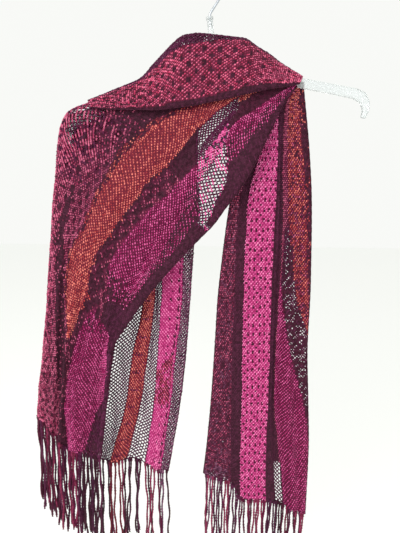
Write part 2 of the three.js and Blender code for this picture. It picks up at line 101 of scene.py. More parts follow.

# %% [markdown]
# ## Dyes as web colours
#
# Each dye is picked and written as a web colour, the form that colour pickers give. A shader adds up
# light, so it needs linear values. They could be typed in directly, but nobody can read those, so one
# function turns the one into the other.

# %% web colours
def linear(code):
    """A web colour such as "#a02040" as linear red, green, blue, alpha."""
    parts = [int(code[i:i + 2], 16) / 255 for i in (1, 3, 5)]
    return tuple(c / 12.92 if c <= 0.04045 else ((c + 0.055) / 1.055) ** 2.4 for c in parts) + (1.0,)


print("#a02040 is", [round(c, 3) for c in linear("#a02040")])

# %% [markdown]
# ## One function for every shader node
#
# A material is a small graph of nodes. Each node is made, set and linked in the same way, so one small
# function does that for all kinds. Its sockets go by name, or by number where several share a name, as on
# the nodes for sums and mixtures.

# %% shader nodes
def add_node(material, kind, links=None, values=None, **properties):
    """Adds one shader node, sets its properties and socket values, and links other sockets to outputs."""
    node = material.node_tree.nodes.new(kind)
    for name, value in properties.items():
        setattr(node, name, value)
    for socket, value in (values or {}).items():
        node.inputs[socket].default_value = value
    for socket, source in (links or {}).items():
        material.node_tree.links.new(source, node.inputs[socket])
    return node


def new_material(name):
    material = bpy.data.materials.new(name)
    material.use_nodes = True
    material.node_tree.nodes.clear()
    return material


def finish_material(material, shader):
    add_node(material, "ShaderNodeOutputMaterial", {"Surface": shader.outputs["BSDF"]})
    return material


print("the frame came with", len(bpy.data.materials), "materials")

# %% [markdown]
# ## Viscose yarn
#
# The shawl is taken to be knitted from soft twisted yarn of viscose and acrylic. It is rough and matt, with a
# weak lustre and hardly any halo of loose fibres. One flat colour would make every stitch look moulded, so
# the colour wanders: a fine noise changes it from stitch to stitch, and a wide one adds patches, as uneven
# dye does. A bump breaks up the light as twisted fibres do. Real fibres are far finer than 0.6 mm, but finer
# ones would not show in the render.

# %% yarn material
STITCH_MOTTLE = 4.2 * MM  # about a stitch and a half
DYE_PATCH = 36 * MM       # two fingers wide
FIBRE_BUMP = 0.6 * MM
PATCH_SHARE = 0.15        # how much the patches add to the mottle


def yarn(name, dark, light):
    """Twisted viscose yarn, mottled from dark to light, with a fibre bump."""
    m = new_material(name)
    place = add_node(m, "ShaderNodeTexCoord").outputs["Object"]
    stitch = add_node(m, "ShaderNodeTexNoise", {"Vector": place}, {"Scale": 1 / STITCH_MOTTLE, "Detail": 2.0})
    patch = add_node(m, "ShaderNodeTexNoise", {"Vector": place}, {"Scale": 1 / DYE_PATCH, "Detail": 2.0})
    both = add_node(m, "ShaderNodeMath", {0: patch.outputs["Fac"], 2: stitch.outputs["Fac"]},
                    {1: PATCH_SHARE}, operation="MULTIPLY_ADD")
    spread = add_node(m, "ShaderNodeMapRange", {"Value": both.outputs["Value"]},
                      {"From Min": 0.48, "From Max": 0.67})
    tone = add_node(m, "ShaderNodeMix", {"Factor": spread.outputs["Result"]},
                    {6: linear(dark), 7: linear(light)}, data_type="RGBA")
    fibre = add_node(m, "ShaderNodeTexNoise", {"Vector": place}, {"Scale": 1 / FIBRE_BUMP, "Detail": 2.0})
    bump = add_node(m, "ShaderNodeBump", {"Height": fibre.outputs["Fac"]},
                    {"Strength": 0.35, "Distance": 0.4 * MM})
    # Fibres scatter the light, so the yarn is rough and no stitch has a hard highlight.
    shader = add_node(m, "ShaderNodeBsdfPrincipled",
                      {"Base Color": tone.outputs[2], "Normal": bump.outputs["Normal"]},
                      {"Roughness": 0.62, "Specular IOR Level": 0.10, "Sheen Weight": 0.02})
    return finish_material(m, shader)


print("mottle %.1f mm, dye patches %.0f mm" % (STITCH_MOTTLE / MM, DYE_PATCH / MM))

# %% [markdown]
# ## The dyed yarns
#
# The stripes come in plum, maroon, orange, magenta and pink. In the real net each bright yarn lies over a
# darker one, which shows between the stitches in shade. A single blended colour would lose that sparkle, so
# each bright yarn has a shaded partner, its dye darkened by painted shade, for the ground behind it.

# %% yarns
YARNS = {
    # Each partner named dark or shaded is its bright yarn's dye with painted shade, and the net's bright side
    # is a painted highlight.
    # Plum, the yarn of the net itself: nearly black in the folds, violet where the light falls.
    "plum": yarn("plum_viscose_yarn", "#42142e", "#5a2242"),
    "plum_dark": yarn("dark_plum_viscose_yarn", "#2e0e1c", "#40182a"),
    # The open net: dark threads against the pale room, and their side that catches the light.
    "net": yarn("plum_net_yarn", "#38122a", "#50203c"),
    "net_shine": yarn("plum_net_yarn_bright_side", "#381830", "#60384f"),
    # A greyed plum, which gives the selvedges a dusty look.
    "grey_plum": yarn("grey_plum_yarn", "#46203a", "#80506a"),
    # Maroon: dusty rose flecks on a wine ground. The fringes have a plain wine, as they look less bright.
    "maroon": yarn("maroon_yarn", "#902e50", "#c86684"),
    "wine": yarn("wine_fringe_yarn", "#641a34", "#863050"),
    "maroon_dark": yarn("dark_maroon_yarn", "#3e1024", "#541832"),
    # Burnt orange over wine, which glows like rust from a step away.
    "orange": yarn("burnt_orange_yarn", "#a8383a", "#ea8676"),
    "orange_dark": yarn("shaded_orange_yarn", "#561424", "#6c1c2c"),
    # Magenta over violet, the coldest of the bright stripes.
    "magenta": yarn("magenta_yarn", "#a82264", "#e66aa6"),
    "magenta_dark": yarn("shaded_magenta_yarn", "#480828", "#5c1034"),
    # Rose pink, the brightest yarn, crocheted so close that its ground is light too.
    "pink": yarn("rose_pink_yarn", "#cc4888", "#f08cba"),
    "pink_dark": yarn("shaded_rose_yarn", "#8a2054", "#a02c66"),
    # The rose of the figured band on the turned-over top, between maroon and pink.
    "flower": yarn("flower_rose_yarn", "#b4345a", "#e47090"),
    "flower_dark": yarn("shaded_flower_yarn", "#4c1124", "#621a34"),
}
YARN_NAMES = list(YARNS)
print("yarns", len(YARNS))

# %% [markdown]
# ## Curves through a few stations
#
# Each stretch of cloth is described as a dressmaker would: a few cross sections, with the places where the
# lines between the stripes pass. A plain spline through these places swings past them and makes bumps of its
# own. `smooth` limits its slopes so that it never does, and `ease` lets a fold grow in without a corner.

# %% smooth curves
def smooth(stations, values, at):
    """Values (n, ...) at rising stations, read at other stations without overshoot."""
    s, v, at = np.asarray(stations, float), np.asarray(values, float), np.asarray(at, float)
    flat = v.reshape(len(s), -1)
    run = np.diff(flat, axis=0) / np.diff(s)[:, None]
    slope = np.empty_like(flat)
    slope[0], slope[-1] = run[0], run[-1]
    product = run[:-1] * run[1:]
    total = run[:-1] + run[1:]
    slope[1:-1] = np.where(product > 0, 2 * product / np.where(total == 0, 1, total), 0)
    i = np.clip(np.searchsorted(s, at, side="right") - 1, 0, len(s) - 2)
    width = (s[i + 1] - s[i])[:, None]
    t = np.clip((at[:, None] - s[i][:, None]) / width, 0, 1)
    out = ((1 + 2 * t) * (1 - t) ** 2 * flat[i] + t * (1 - t) ** 2 * width * slope[i]
           + t * t * (3 - 2 * t) * flat[i + 1] + t * t * (t - 1) * width * slope[i + 1])
    return out.reshape((len(at),) + v.shape[1:])


def ease(start, end, at):
    """0 before start, 1 after end, and a soft rise between them."""
    t = np.clip((at - start) / (end - start), 0, 1)
    return t * t * (3 - 2 * t)


print("halfway along an even rise:", smooth([0, 1, 2], [0, 1, 2], [0.5]))

# %% [markdown]
# ## A surface that knows its places
#
# The knitting asks for tens of thousands of places on the cloth. A subdivided mesh with modifiers could carry
# the net, but then the stitches would follow its faces and not the yarn. So each stretch is worked out once
# as a fine grid, and `Surface.at` looks places up in it, all at once, by stripe line and distance along.

# %% surface
class Surface:
    """A stretch of cloth as a fine grid of places in metres, with its outward normals."""

    def __init__(self, places, lines):
        self.places = places * MM                      # (lines, along, 3)
        self.lines = lines
        across = np.gradient(self.places, axis=0)
        down = np.gradient(self.places, axis=1)
        normal = np.cross(down, across)
        normal /= np.linalg.norm(normal, axis=2, keepdims=True) + 1e-12
        self.normals = normal * (-1 if normal[..., 1].mean() > 0 else 1)

    def at(self, line, along, lift=0.0):
        """Places at (line, along), moved out by lift metres along the normal."""
        n, m = self.places.shape[:2]
        low, high = self.lines
        u = np.clip((np.asarray(line, float) - low) / (high - low), 0, 1) * (n - 1)
        v = np.clip(np.asarray(along, float), 0, 1) * (m - 1)
        i, j = np.minimum(u.astype(int), n - 2), np.minimum(v.astype(int), m - 2)
        fu, fv = (u - i)[..., None], (v - j)[..., None]

        def mix(g):
            return ((1 - fu) * (1 - fv) * g[i, j] + fu * (1 - fv) * g[i + 1, j]
                    + (1 - fu) * fv * g[i, j + 1] + fu * fv * g[i + 1, j + 1])
        normal = mix(self.normals)
        return mix(self.places) + normal * np.asarray(lift)[..., None], normal

    def area(self):
        p = self.places
        cells = np.cross(p[1:, :-1] - p[:-1, :-1], p[:-1, 1:] - p[:-1, :-1])
        return float(np.linalg.norm(cells, axis=2).sum())

    def length(self):
        return np.linalg.norm(np.diff(self.places, axis=1), axis=2).sum(axis=1)

    def steps(self, pitch):
        """Stations along the cloth about one pitch apart, measured on the cloth."""
        run = np.linalg.norm(np.diff(self.places, axis=1), axis=2).mean(axis=0)
        total = np.concatenate([[0], np.cumsum(run)])
        count = int(round(total[-1] / pitch))
        return np.interp(np.linspace(0, total[-1], count + 1), total, np.linspace(0, 1, len(total)))


print("a surface gives", [n for n in vars(Surface) if n[0] != "_"])

# %% [markdown]
# ## From cross sections to cloth
#
# A hanging net has soft folds that run with its stripes. Each is a small ridge or trough added to the depth,
# with its place across the cloth, its width, and where it grows in. Sculpting could make them too, but here
# a fold is one row of five numbers that can be read and moved. At the fold line the cloth turns back on
# itself, so its last strip is bent into a quarter of a round.

# %% stretch of cloth
FINE = 0.025      # step across, in stripe lines
ROWS = 300        # steps along


def stretch(spec):
    """A hanging stretch as a Surface, from its sections, folds and creases."""
    stations = [s[0] for s in spec["sections"]]
    marks = np.array([s[1] for s in spec["sections"]], float)
    depth = np.array([s[2] for s in spec["sections"]], float)
    edge = len(spec["lines"]) - 1
    along = np.linspace(0, 1, ROWS)
    guide = smooth(stations, marks, along)             # (rows, lines, 2)
    guide_depth = smooth(stations, depth, along)       # (rows, depth lines)

    def flat(line):
        xz = smooth(range(edge + 1), guide.transpose(1, 0, 2), line)
        y = smooth(spec["depth_lines"], guide_depth.T, line)
        for middle, out, wide, start, end in spec["folds"] + spec["creases"]:
            spread = np.exp(-(((line - middle) / wide) ** 2))[:, None]
            y = y - out * ease(start, end, along)[None, :] * spread
        return np.stack([xz[..., 0], y, xz[..., 1]], axis=2)

    line = np.linspace(0, edge, int(round(edge / FINE)) + 1)
    places = flat(line)
    if spec["turn"]:
        rolled = line > edge - spec["turn"]
        angle = ((edge - line[rolled]) / spec["turn"] * math.pi / 2)[:, None]
        end, start = flat(np.array([float(edge)])), flat(np.array([edge - spec["turn"]]))
        inward = 1 - np.cos(angle)
        turned = end + (start - end) * inward[..., None]
        turned[..., 1] = end[..., 1] + (start[..., 1] - end[..., 1]) * np.sin(angle)
        places[rolled] = turned
    return Surface(places, (0, edge))


def measure(name, surface):
    print(name, "area %.4f m2" % surface.area(), "mean length %.3f m" % surface.length().mean())
    return surface


SURFACES = {}
print("a fine grid has", ROWS, "rows")

# %% [markdown]
# ## The front swag
#
# This stretch sweeps from the right arm of the hanger to the lower left. We see its reverse. Its lines run
# from the selvedge, which is its free edge, to the fold at the far left. A section gives, in millimetres,
# the places (x, z) of the seven lines and the depth at four of them. It could be draped by simulation, but
# the photograph shows every line, so fourteen sections follow it.

# %% front swag
# Distance along, places (x, z) of the lines, and depths (y) at the depth lines, in millimetres.
FRONT_SECTIONS = [
    (0.00, [(128, -134), (126, -132), (125, -130), (123, -128), (121, -126), (120, -124), (118, -121)],
     [-5.2, -5.2, -5.2, -5.2]),
    (0.05, [(108, -160), (97, -151), (89, -145), (82, -140), (77, -136), (67, -132), (59, -117)],
     [-14, -12, -10, -9]),
    (0.12, [(92, -195), (76, -185), (62, -173), (47, -164), (36, -157), (14, -147), (-1, -116)],
     [-19, -16, -12, -10]),
    (0.20, [(72, -239), (51, -228), (30, -213), (12, -197), (-2, -187), (-29, -165), (-60, -128)],
     [-21, -18, -12, -9]),
    (0.28, [(52, -275), (36, -270), (6, -254), (-19, -235), (-34, -225), (-69, -199), (-138, -160)],
     [-22, -19, -12, -6.5]),
    (0.33, [(31, -304), (18, -297), (-10, -281), (-38, -260), (-55, -248), (-92, -220), (-163, -165)],
     [-22, -20, -13, -3]),
    (0.37, [(15, -327), (4, -319), (-22, -302), (-52, -280), (-70, -266), (-110, -237), (-190, -178)],
     [-22, -20, -14, -0.6]),
    (0.41, [(-3, -346), (-15, -338), (-38, -322), (-67, -298), (-86, -284), (-124, -256), (-202, -206)],
     [-22, -20, -14, -0.5]),
    (0.47, [(-30, -375), (-44, -366), (-62, -351), (-90, -326), (-111, -312), (-146, -285), (-208, -249)],
     [-21, -20, -14, -0.5]),
    (0.58, [(-73, -426), (-88, -417), (-95, -407), (-128, -379), (-145, -364), (-175, -336), (-219, -334)],
     [-19, -20, -14, -0.5]),
    (0.69, [(-106, -473), (-119, -468), (-128, -460), (-154, -448), (-173, -436), (-198, -424), (-230, -439)],
     [-18, -20, -14, -0.5]),
    (0.78, [(-134, -524), (-140, -522), (-146, -520), (-179, -517), (-194, -512), (-207, -512), (-240, -519)],
     [-17, -18, -13, -0.5]),
    (0.88, [(-143, -603), (-151, -603), (-165, -603), (-199, -599), (-207, -596), (-214, -594), (-251, -594)],
     [-15, -16, -12, -0.5]),
    (1.00, [(-155, -704), (-164, -702), (-186, -695), (-207, -687), (-214, -680), (-223, -668), (-255, -632)],
     [-14, -15, -12, -0.5]),
]
FRONT = {
    "lines": ["selvedge", "plum", "net", "magenta", "dark net", "orange", "fold"],
    "depth_lines": [0, 3, 5.6, 6],
    "turn": 0.3,
    "sections": FRONT_SECTIONS,
    # line, out towards the viewer, spread across, and where along the cloth it grows in
    "folds": [
        (0.55, 3.5, 0.45, 0.04, 0.22), (1.50, -3.0, 0.50, 0.10, 0.30), (2.50, 4.5, 0.50, 0.06, 0.26),
        (3.50, -4.0, 0.40, 0.08, 0.30), (4.45, 4.0, 0.45, 0.06, 0.30), (5.05, -4.0, 0.22, 0.45, 0.72),
        (5.35, 3.0, 0.15, 0.55, 0.78),
    ],
    # Fine creases that only the net has, in the same columns.
    "creases": [
        (0.9, -2.2, 0.18, 0.15, 0.30), (2.05, -3.0, 0.16, 0.20, 0.36), (2.9, -2.2, 0.14, 0.30, 0.42),
        (3.1, -3.6, 0.22, 0.16, 0.34), (4.15, -2.2, 0.16, 0.30, 0.45), (4.7, 2.2, 0.16, 0.42, 0.56),
        (5.25, -3.0, 0.10, 0.34, 0.44), (5.62, -2.2, 0.08, 0.52, 0.66), (2.45, -2.6, 0.16, 0.60, 0.74),
    ],
}
SURFACES["front"] = measure("front", stretch(FRONT))

# %% [markdown]
# ## The back left
#
# Behind the swag the other half of the folded end hangs almost straight, right side out. It needs fewer
# sections, because its lines hardly bend. Its fold is the swag's fold too, so both end at the same place.

# %% back left
# Distance along, places (x, z) of the lines, and depths (y) at the depth lines, in millimetres.
BACK_SECTIONS = [
    (0.00, [(40, -86), (20, -84), (-5, -84), (-33, -95), (-60, -114), (-102, -150), (-189, -179)],
     [9.1, 9.1, 9.1, 0.8]),
    (0.10, [(8, -138), (-8, -138), (-32, -140), (-50, -146), (-74, -156), (-110, -176), (-199, -194)],
     [11, 11, 11, 0.8]),
    (0.20, [(-8, -202), (-26, -202), (-49, -203), (-63, -203), (-89, -204), (-120, -207), (-205, -214)],
     [12, 12, 11, 0.8]),
    (0.40, [(-10, -317), (-28, -317), (-55, -318), (-67, -318), (-92, -318), (-125, -319), (-216, -319)],
     [13, 13, 12, 0.8]),
    (0.60, [(-16, -449), (-30, -449), (-61, -450), (-72, -450), (-90, -450), (-127, -450), (-230, -439)],
     [13, 13, 12, 0.8]),
    (0.74, [(-22, -549), (-40, -549), (-67, -549), (-85, -549), (-108, -549), (-142, -549), (-241, -527)],
     [12, 13, 12, 0.8]),
    (0.85, [(-29, -620), (-46, -619), (-72, -619), (-95, -619), (-117, -619), (-151, -618), (-251, -594)],
     [11, 12, 11, 0.8]),
    (1.00, [(-48, -749), (-62, -747), (-87, -731), (-120, -725), (-146, -730), (-168, -720), (-256, -650)],
     [10, 11, 10, 0.8]),
]
BACK = {
    "lines": ["selvedge", "plum", "pink", "net", "orange", "net", "fold"],
    "depth_lines": [0, 3, 5.6, 6],
    "turn": 0.3,
    "sections": BACK_SECTIONS,
    "folds": [
        (0.50, -2.5, 0.45, 0.15, 0.5), (1.50, 4.0, 0.50, 0.15, 0.5), (2.50, -3.0, 0.45, 0.20, 0.6),
        (3.50, 4.0, 0.50, 0.20, 0.6), (4.50, -3.0, 0.45, 0.20, 0.6),
    ],
    "creases": [
        (0.35, -2.5, 0.16, 0.30, 0.45), (1.05, -2.5, 0.14, 0.30, 0.5), (1.7, -2.0, 0.14, 0.5, 0.7),
        (2.6, -3.0, 0.20, 0.35, 0.5), (3.05, -2.5, 0.14, 0.40, 0.6), (4.2, -3.0, 0.20, 0.35, 0.55),
    ],
}
SURFACES["back"] = measure("back", stretch(BACK))

# %% [markdown]
# ## The right end
#
# The other end of the shawl hangs from the hanger's right arm, gathered at the top and fanned out below.
# Its far edge doesn't turn back, so its "turn" is 0. One deep fold beside the pink stripe casts the long
# shadow that the photograph shows.

# %% right end
# Distance along, places (x, z) of the lines, and depths (y) at the depth lines, in millimetres.
RIGHT_SECTIONS = [
    (0.00, [(115, -126), (118, -126), (121, -126), (126, -126), (129, -126), (139, -127)], [5.2, 5.2, 5.2]),
    (0.06, [(83, -168), (90, -168), (96, -168), (107, -167), (116, -167), (146, -166)], [7, 8, 6]),
    (0.13, [(59, -221), (72, -221), (84, -221), (109, -220), (118, -220), (155, -219)], [8, 9, 7]),
    (0.24, [(42, -293), (57, -293), (69, -293), (110, -292), (123, -292), (164, -291)], [8, 9, 8]),
    (0.37, [(32, -384), (53, -384), (67, -384), (110, -383), (126, -383), (170, -383)], [7, 8, 8]),
    (0.46, [(27, -447), (54, -447), (68, -447), (111, -447), (125, -447), (173, -447)], [6, 8, 8]),
    (0.55, [(25, -513), (53, -513), (69, -513), (113, -513), (125, -513), (174, -513)], [6, 8, 8]),
    (0.70, [(21, -617), (55, -617), (72, -617), (115, -618), (127, -618), (182, -618)], [6, 7, 7]),
    (0.84, [(15, -708), (57, -709), (73, -709), (116, -710), (139, -710), (189, -711)], [5, 6, 6]),
    (1.00, [(11, -748), (59, -770), (76, -796), (120, -803), (152, -818), (192, -835)], [4, 5, 5]),
]
RIGHT = {
    "lines": ["selvedge", "plum", "pink", "plum", "crease", "far edge"],
    "depth_lines": [0, 3, 5],
    "turn": 0,
    "sections": RIGHT_SECTIONS,
    "folds": [
        (0.40, 2.0, 0.50, 0.10, 0.4), (1.30, -3.0, 0.40, 0.06, 0.3), (2.50, 5.0, 0.60, 0.04, 0.2),
        (3.85, -8.0, 0.35, 0.03, 0.2), (4.45, 5.0, 0.30, 0.04, 0.2),
    ],
    "creases": [
        (0.55, -2.5, 0.10, 0.14, 0.3), (0.9, -2.5, 0.10, 0.10, 0.2), (1.85, -2.5, 0.16, 0.08, 0.2),
        (2.3, 1.8, 0.12, 0.3, 0.5), (2.7, -1.8, 0.10, 0.2, 0.4), (3.2, -2.5, 0.14, 0.06, 0.2),
        (4.2, -3.0, 0.14, 0.10, 0.24), (4.65, -3.0, 0.12, 0.20, 0.36), (4.85, 2.0, 0.08, 0.36, 0.5),
    ],
}
SURFACES["right"] = measure("right", stretch(RIGHT))

# %% [markdown]
# ## The turned-over top
#
# Where the shawl lies over the hanger, its edge is turned over like a collar. It rises behind the arms, goes
# over a crest and falls to a rim in front. A quarter of an ellipse on each side of the crest gives that
# round back and full front from few numbers, so no section has to be drawn point by point.

# %% turned-over top
# The turned-over top: along, crest (x, z), front rim (x, z), and how far forward the rim stands.
COLLAR_SECTIONS = [
    (0.00, (-161, -160.5), (-154, -172), 17), (0.06, (-148, -155), (-141, -173), 18),
    (0.13, (-129, -147), (-123, -174), 19), (0.20, (-107, -138), (-105, -174), 21),
    (0.26, (-87, -128), (-86, -174), 23), (0.32, (-72, -112), (-73, -174), 24),
    (0.37, (-59, -98), (-59, -173), 25), (0.42, (-44, -83), (-46, -171), 25),
    (0.47, (-30, -73), (-31, -169), 25), (0.53, (-11, -70), (-13, -166), 25),
    (0.59, (8, -71), (4, -162), 25), (0.65, (30, -72), (23, -158), 25),
    (0.71, (52, -74), (43, -153), 25), (0.77, (69, -83), (61, -148), 24),
    (0.83, (86, -92), (78, -144), 23), (0.89, (103, -103), (96, -140), 20),
    (0.95, (119, -111), (111, -137), 15), (1.00, (136, -120), (130, -132), 10),
]
COLLAR_FOLDS = [(0.40, 1.6, 0.10), (0.72, -1.4, 0.08), (0.90, 1.8, 0.06)]
COLLAR_CREST_Y, COLLAR_BACK_DROP, COLLAR_BACK_Y = -1, 14, 11.6
CLOTH = 1.6
COLLAR_ROWS, COLLAR_FINE = 240, 121


def turned_over_top():
    stations = [s[0] for s in COLLAR_SECTIONS]
    along = np.linspace(0, 1, COLLAR_ROWS)
    crest = smooth(stations, [s[1] for s in COLLAR_SECTIONS], along)
    crest[:, 1] -= CLOTH / 2
    rim = smooth(stations, [s[2] for s in COLLAR_SECTIONS], along)
    forward = smooth(stations, [[s[3]] for s in COLLAR_SECTIONS], along)[:, 0]
    part = np.linspace(-1, 1, COLLAR_FINE)[:, None]
    angle = np.abs(part) * math.pi / 2
    fall = 1 - np.cos(angle)
    behind = part < 0
    x = np.where(behind, crest[:, 0], crest[:, 0] + (rim[:, 0] - crest[:, 0]) * fall)
    drop = np.where(behind, COLLAR_BACK_DROP, crest[:, 1] - rim[:, 1])
    z = crest[:, 1] - drop * fall
    y_back = COLLAR_CREST_Y + (COLLAR_BACK_Y - COLLAR_CREST_Y) * np.sin(angle)
    y_front = COLLAR_CREST_Y - (forward + COLLAR_CREST_Y) * np.sin(angle)
    middle = ease(0.1, 0.35, along) * (1 - ease(0.75, 0.95, along))
    for rise, out, wide in COLLAR_FOLDS:
        y_front = y_front - out * middle * np.exp(-(((fall - rise) / wide) ** 2))
    y = np.where(behind, y_back, y_front)
    return Surface(np.stack([x, y, z], axis=2), (-1, 1))


SURFACES["collar"] = measure("collar", turned_over_top())

# %% [markdown]
# ## Meshes straight from arrays
#
# The knitting has half a million triangles. Adding them face by face in a loop is slow, so numpy arrays are
# handed to the mesh in one go. Each triangle carries the number of its yarn's material.

# %% mesh from arrays
def make_mesh(name, vertices, triangles, material_ids=None, materials=(), smooth=False):
    """A mesh object from arrays, quickly."""
    mesh = bpy.data.meshes.new(name)
    count = len(triangles)
    mesh.vertices.add(len(vertices))
    mesh.vertices.foreach_set("co", np.asarray(vertices, np.float32).ravel())
    mesh.loops.add(count * 3)
    mesh.loops.foreach_set("vertex_index", np.asarray(triangles, np.int32).ravel())
    mesh.polygons.add(count)
    mesh.polygons.foreach_set("loop_start", np.arange(0, count * 3, 3, dtype=np.int32))
    mesh.polygons.foreach_set("loop_total", np.full(count, 3, np.int32))
    for material in materials:
        mesh.materials.append(material)
    if material_ids is not None:
        mesh.polygons.foreach_set("material_index", np.asarray(material_ids, np.int32))
    mesh.update(calc_edges=True)
    mesh.validate()
    mesh.polygons.foreach_set("use_smooth", np.broadcast_to(smooth, count).astype(bool))
    obj = bpy.data.objects.new(name, mesh)
    bpy.context.scene.collection.objects.link(obj)
    return obj


# %% [markdown]
# ## One leg of a chain
#
# A chain stitch is two legs of yarn side by side. At this size each leg can be one small three-sided rod. A
# round curve with a bevel would cost several times as many faces, and nobody would see the difference. Where
# stitches lie close on a ground they swell in the middle, so there the rod becomes a pointed grain.

# %% rods for the legs
def rods(starts, ends, normals, radii, pointed=False):
    """Closed three-sided rods, or pointed grains where a stitch lies on its ground."""
    count = len(starts)
    run = ends - starts
    run /= np.linalg.norm(run, axis=1, keepdims=True) + 1e-12
    side = np.cross(run, normals)
    side /= np.linalg.norm(side, axis=1, keepdims=True) + 1e-12
    out = np.cross(side, run)
    r = radii[:, None]
    ring = [0.6 * out * r, (-0.3 * out + side) * r, (-0.3 * out - side) * r]
    if pointed:
        middle = starts * 0.45 + ends * 0.55
        corners = [starts, ends] + [middle + c for c in ring]
        pattern = [[0, 2, 3], [0, 3, 4], [0, 4, 2], [1, 3, 2], [1, 4, 3], [1, 2, 4]]
    else:
        corners = [starts + c for c in ring] + [ends + c for c in ring]
        pattern = [[0, 3, 4], [0, 4, 1], [1, 4, 5], [1, 5, 2], [2, 5, 3], [2, 3, 0], [0, 1, 2], [3, 5, 4]]
    vertices = np.stack(corners, axis=1).reshape(-1, 3)
    triangles = (np.arange(count)[:, None, None] * len(corners) + np.array(pattern)[None]).reshape(-1, 3)
    return vertices, triangles, len(pattern)


one_leg = rods(np.zeros((1, 3)), np.array([[0, 0, 1.0]]), np.array([[0, -1.0, 0]]), np.array([0.1]))
print("a leg has", one_leg[2], "triangles")

# %% [markdown]
# ## The ground behind the dense stripes
#
# In the dense stripes a second yarn is laid in behind the chains and closes the holes. It could be knitted
# too, but only a dark layer shows between the stitches. So it is a thin closed sheet over the cells that
# have it, with walls along its rims.

# %% ground
GROUND = 0.3 * MM         # thickness of the laid-in yarn


def ground(places, normals, shown):
    """A closed thin layer over the cells marked as shown, of a grid of places."""
    n, m = places.shape[:2]
    cells = np.argwhere(shown)
    number = np.arange(n * m).reshape(n, m)
    a, b = cells[:, 0], cells[:, 1]
    corner = np.stack([number[a, b], number[a + 1, b], number[a + 1, b + 1], number[a, b + 1]], axis=1)
    under = corner + n * m
    quads = [corner, under[:, ::-1]]
    owner = [np.arange(len(cells))] * 2
    padded = np.pad(shown, 1)
    for (da, db), (p, q) in (((0, -1), (0, 1)), ((1, 0), (1, 2)), ((0, 1), (2, 3)), ((-1, 0), (3, 0))):
        rim = ~padded[a + 1 + da, b + 1 + db]
        quads.append(np.stack([corner[rim, q], corner[rim, p], under[rim, p], under[rim, q]], axis=1))
        owner.append(np.flatnonzero(rim))
    quads, owner = np.concatenate(quads), np.concatenate(owner)
    half = normals * GROUND / 2
    vertices = np.concatenate([(places + half).reshape(-1, 3), (places - half).reshape(-1, 3)])
    triangles = quads[:, [0, 1, 2, 0, 2, 3]].reshape(-1, 3)
    used, triangles = np.unique(triangles, return_inverse=True)
    return vertices[used], triangles.reshape(-1, 3), np.repeat(owner, 2)


print("the ground is %.1f mm thick" % (GROUND / MM))

# %% [markdown]
# ## Which yarns each knit uses
#
# A raschel net is a row of upright chains. Each one zigzags and touches its left and right neighbours by
# turns, so diamond holes open between them. Every other leg counts as facing the light and has the bright
# yarn, as a painted highlight, and the others have the shaded one, as painted shade. On a ground only the
# bright legs are made, as slanted flecks. This painted light and shade makes a stripe glow at a distance
# and look woven close up. A texture could paint it, but it wouldn't have holes.

# %% kinds of knit
# kind: bright yarn, shaded yarn, half their widths in millimetres, and the ground behind them, if any
KINDS = {
    "open": ("net_shine", "net", 1.10, 1.05, None),
    "net": ("plum", "plum_dark", 1.10, 1.05, None),
    "fine": ("grey_plum", "plum_dark", 1.40, 1.30, None),
    "grey": ("grey_plum", None, 1.30, 0, "maroon_dark"),
    "maroon_net": ("maroon", "maroon_dark", 1.15, 1.15, None),
    "magenta_net": ("magenta", "magenta_dark", 1.10, 1.20, None),
    "plum": ("plum", None, 1.15, 0, "plum_dark"),
    "dark": ("plum_dark", "plum_dark", 1.00, 0.80, "plum_dark"),
    "maroon": ("maroon", None, 1.45, 0, "maroon_dark"),
    "maroon_shade": ("maroon_dark", "plum_dark", 1.20, 1.00, "plum_dark"),
    "orange": ("orange", None, 1.55, 0, "orange_dark"),
    "magenta": ("magenta", None, 1.45, 0, "magenta_dark"),
    "magenta_shade": ("magenta", None, 1.05, 0, "plum_dark"),
    "orange_crochet": ("orange", None, 1.85, 0, "orange_dark"),
    "orange_gap": ("plum_dark", "plum_dark", 1.50, 1.30, "plum_dark"),
    "pink_crochet": ("pink", None, 1.80, 0, "pink_dark"),
    "pink_gap": ("plum_dark", "plum_dark", 1.50, 1.30, "plum_dark"),
    "flower": ("flower", None, 1.65, 0, "flower_dark"),
    "flower_half": ("maroon", None, 1.20, 0, "flower_dark"),
}
KIND_NAMES = list(KINDS)
print("kinds of knit", len(KINDS))

# %% [markdown]
# ## The table as arrays
#
# Each leg will know its kind only by a number. So each column of the table becomes an array, and one lookup
# gives the yarn or the width of every leg at once. Asking the table leg by leg would be many times slower.

# %% kinds as arrays
def column(place):
    return [row[place] for row in KINDS.values()]


def yarn_numbers(names):
    """The numbers of yarns in the list of materials, with -1 for none."""
    return np.array([YARN_NAMES.index(name) if name else -1 for name in names])


BRIGHT, SHADED, LAID_IN = yarn_numbers(column(0)), yarn_numbers(column(1)), yarn_numbers(column(4))
WIDE, THIN = np.array(column(2)) * MM, np.array(column(3)) * MM
print("kinds with a ground", int((LAID_IN >= 0).sum()))

# %% [markdown]
# ## Where the chains run
#
# A chain follows the cloth's own lines, so a stripe that narrows has its chains closer together, as gathered
# net has. The real chains are about 2 mm apart. Here they are 2.3 mm apart, which still shows in the render.
# `gauge` spreads the chains of an open stripe further. At the hem the net hangs in small scallops between
# the bunches of fringe, because the bunches draw it up.

# %% chains and courses
WALE = 2.3 * MM       # between two chains
COURSE = 3.0 * MM     # length of one leg
SCALLOP = 2.4 * MM    # how far one hangs down
SCALLOPS = 11
HEM_START = 0.975     # how far along the net begins to hang in scallops


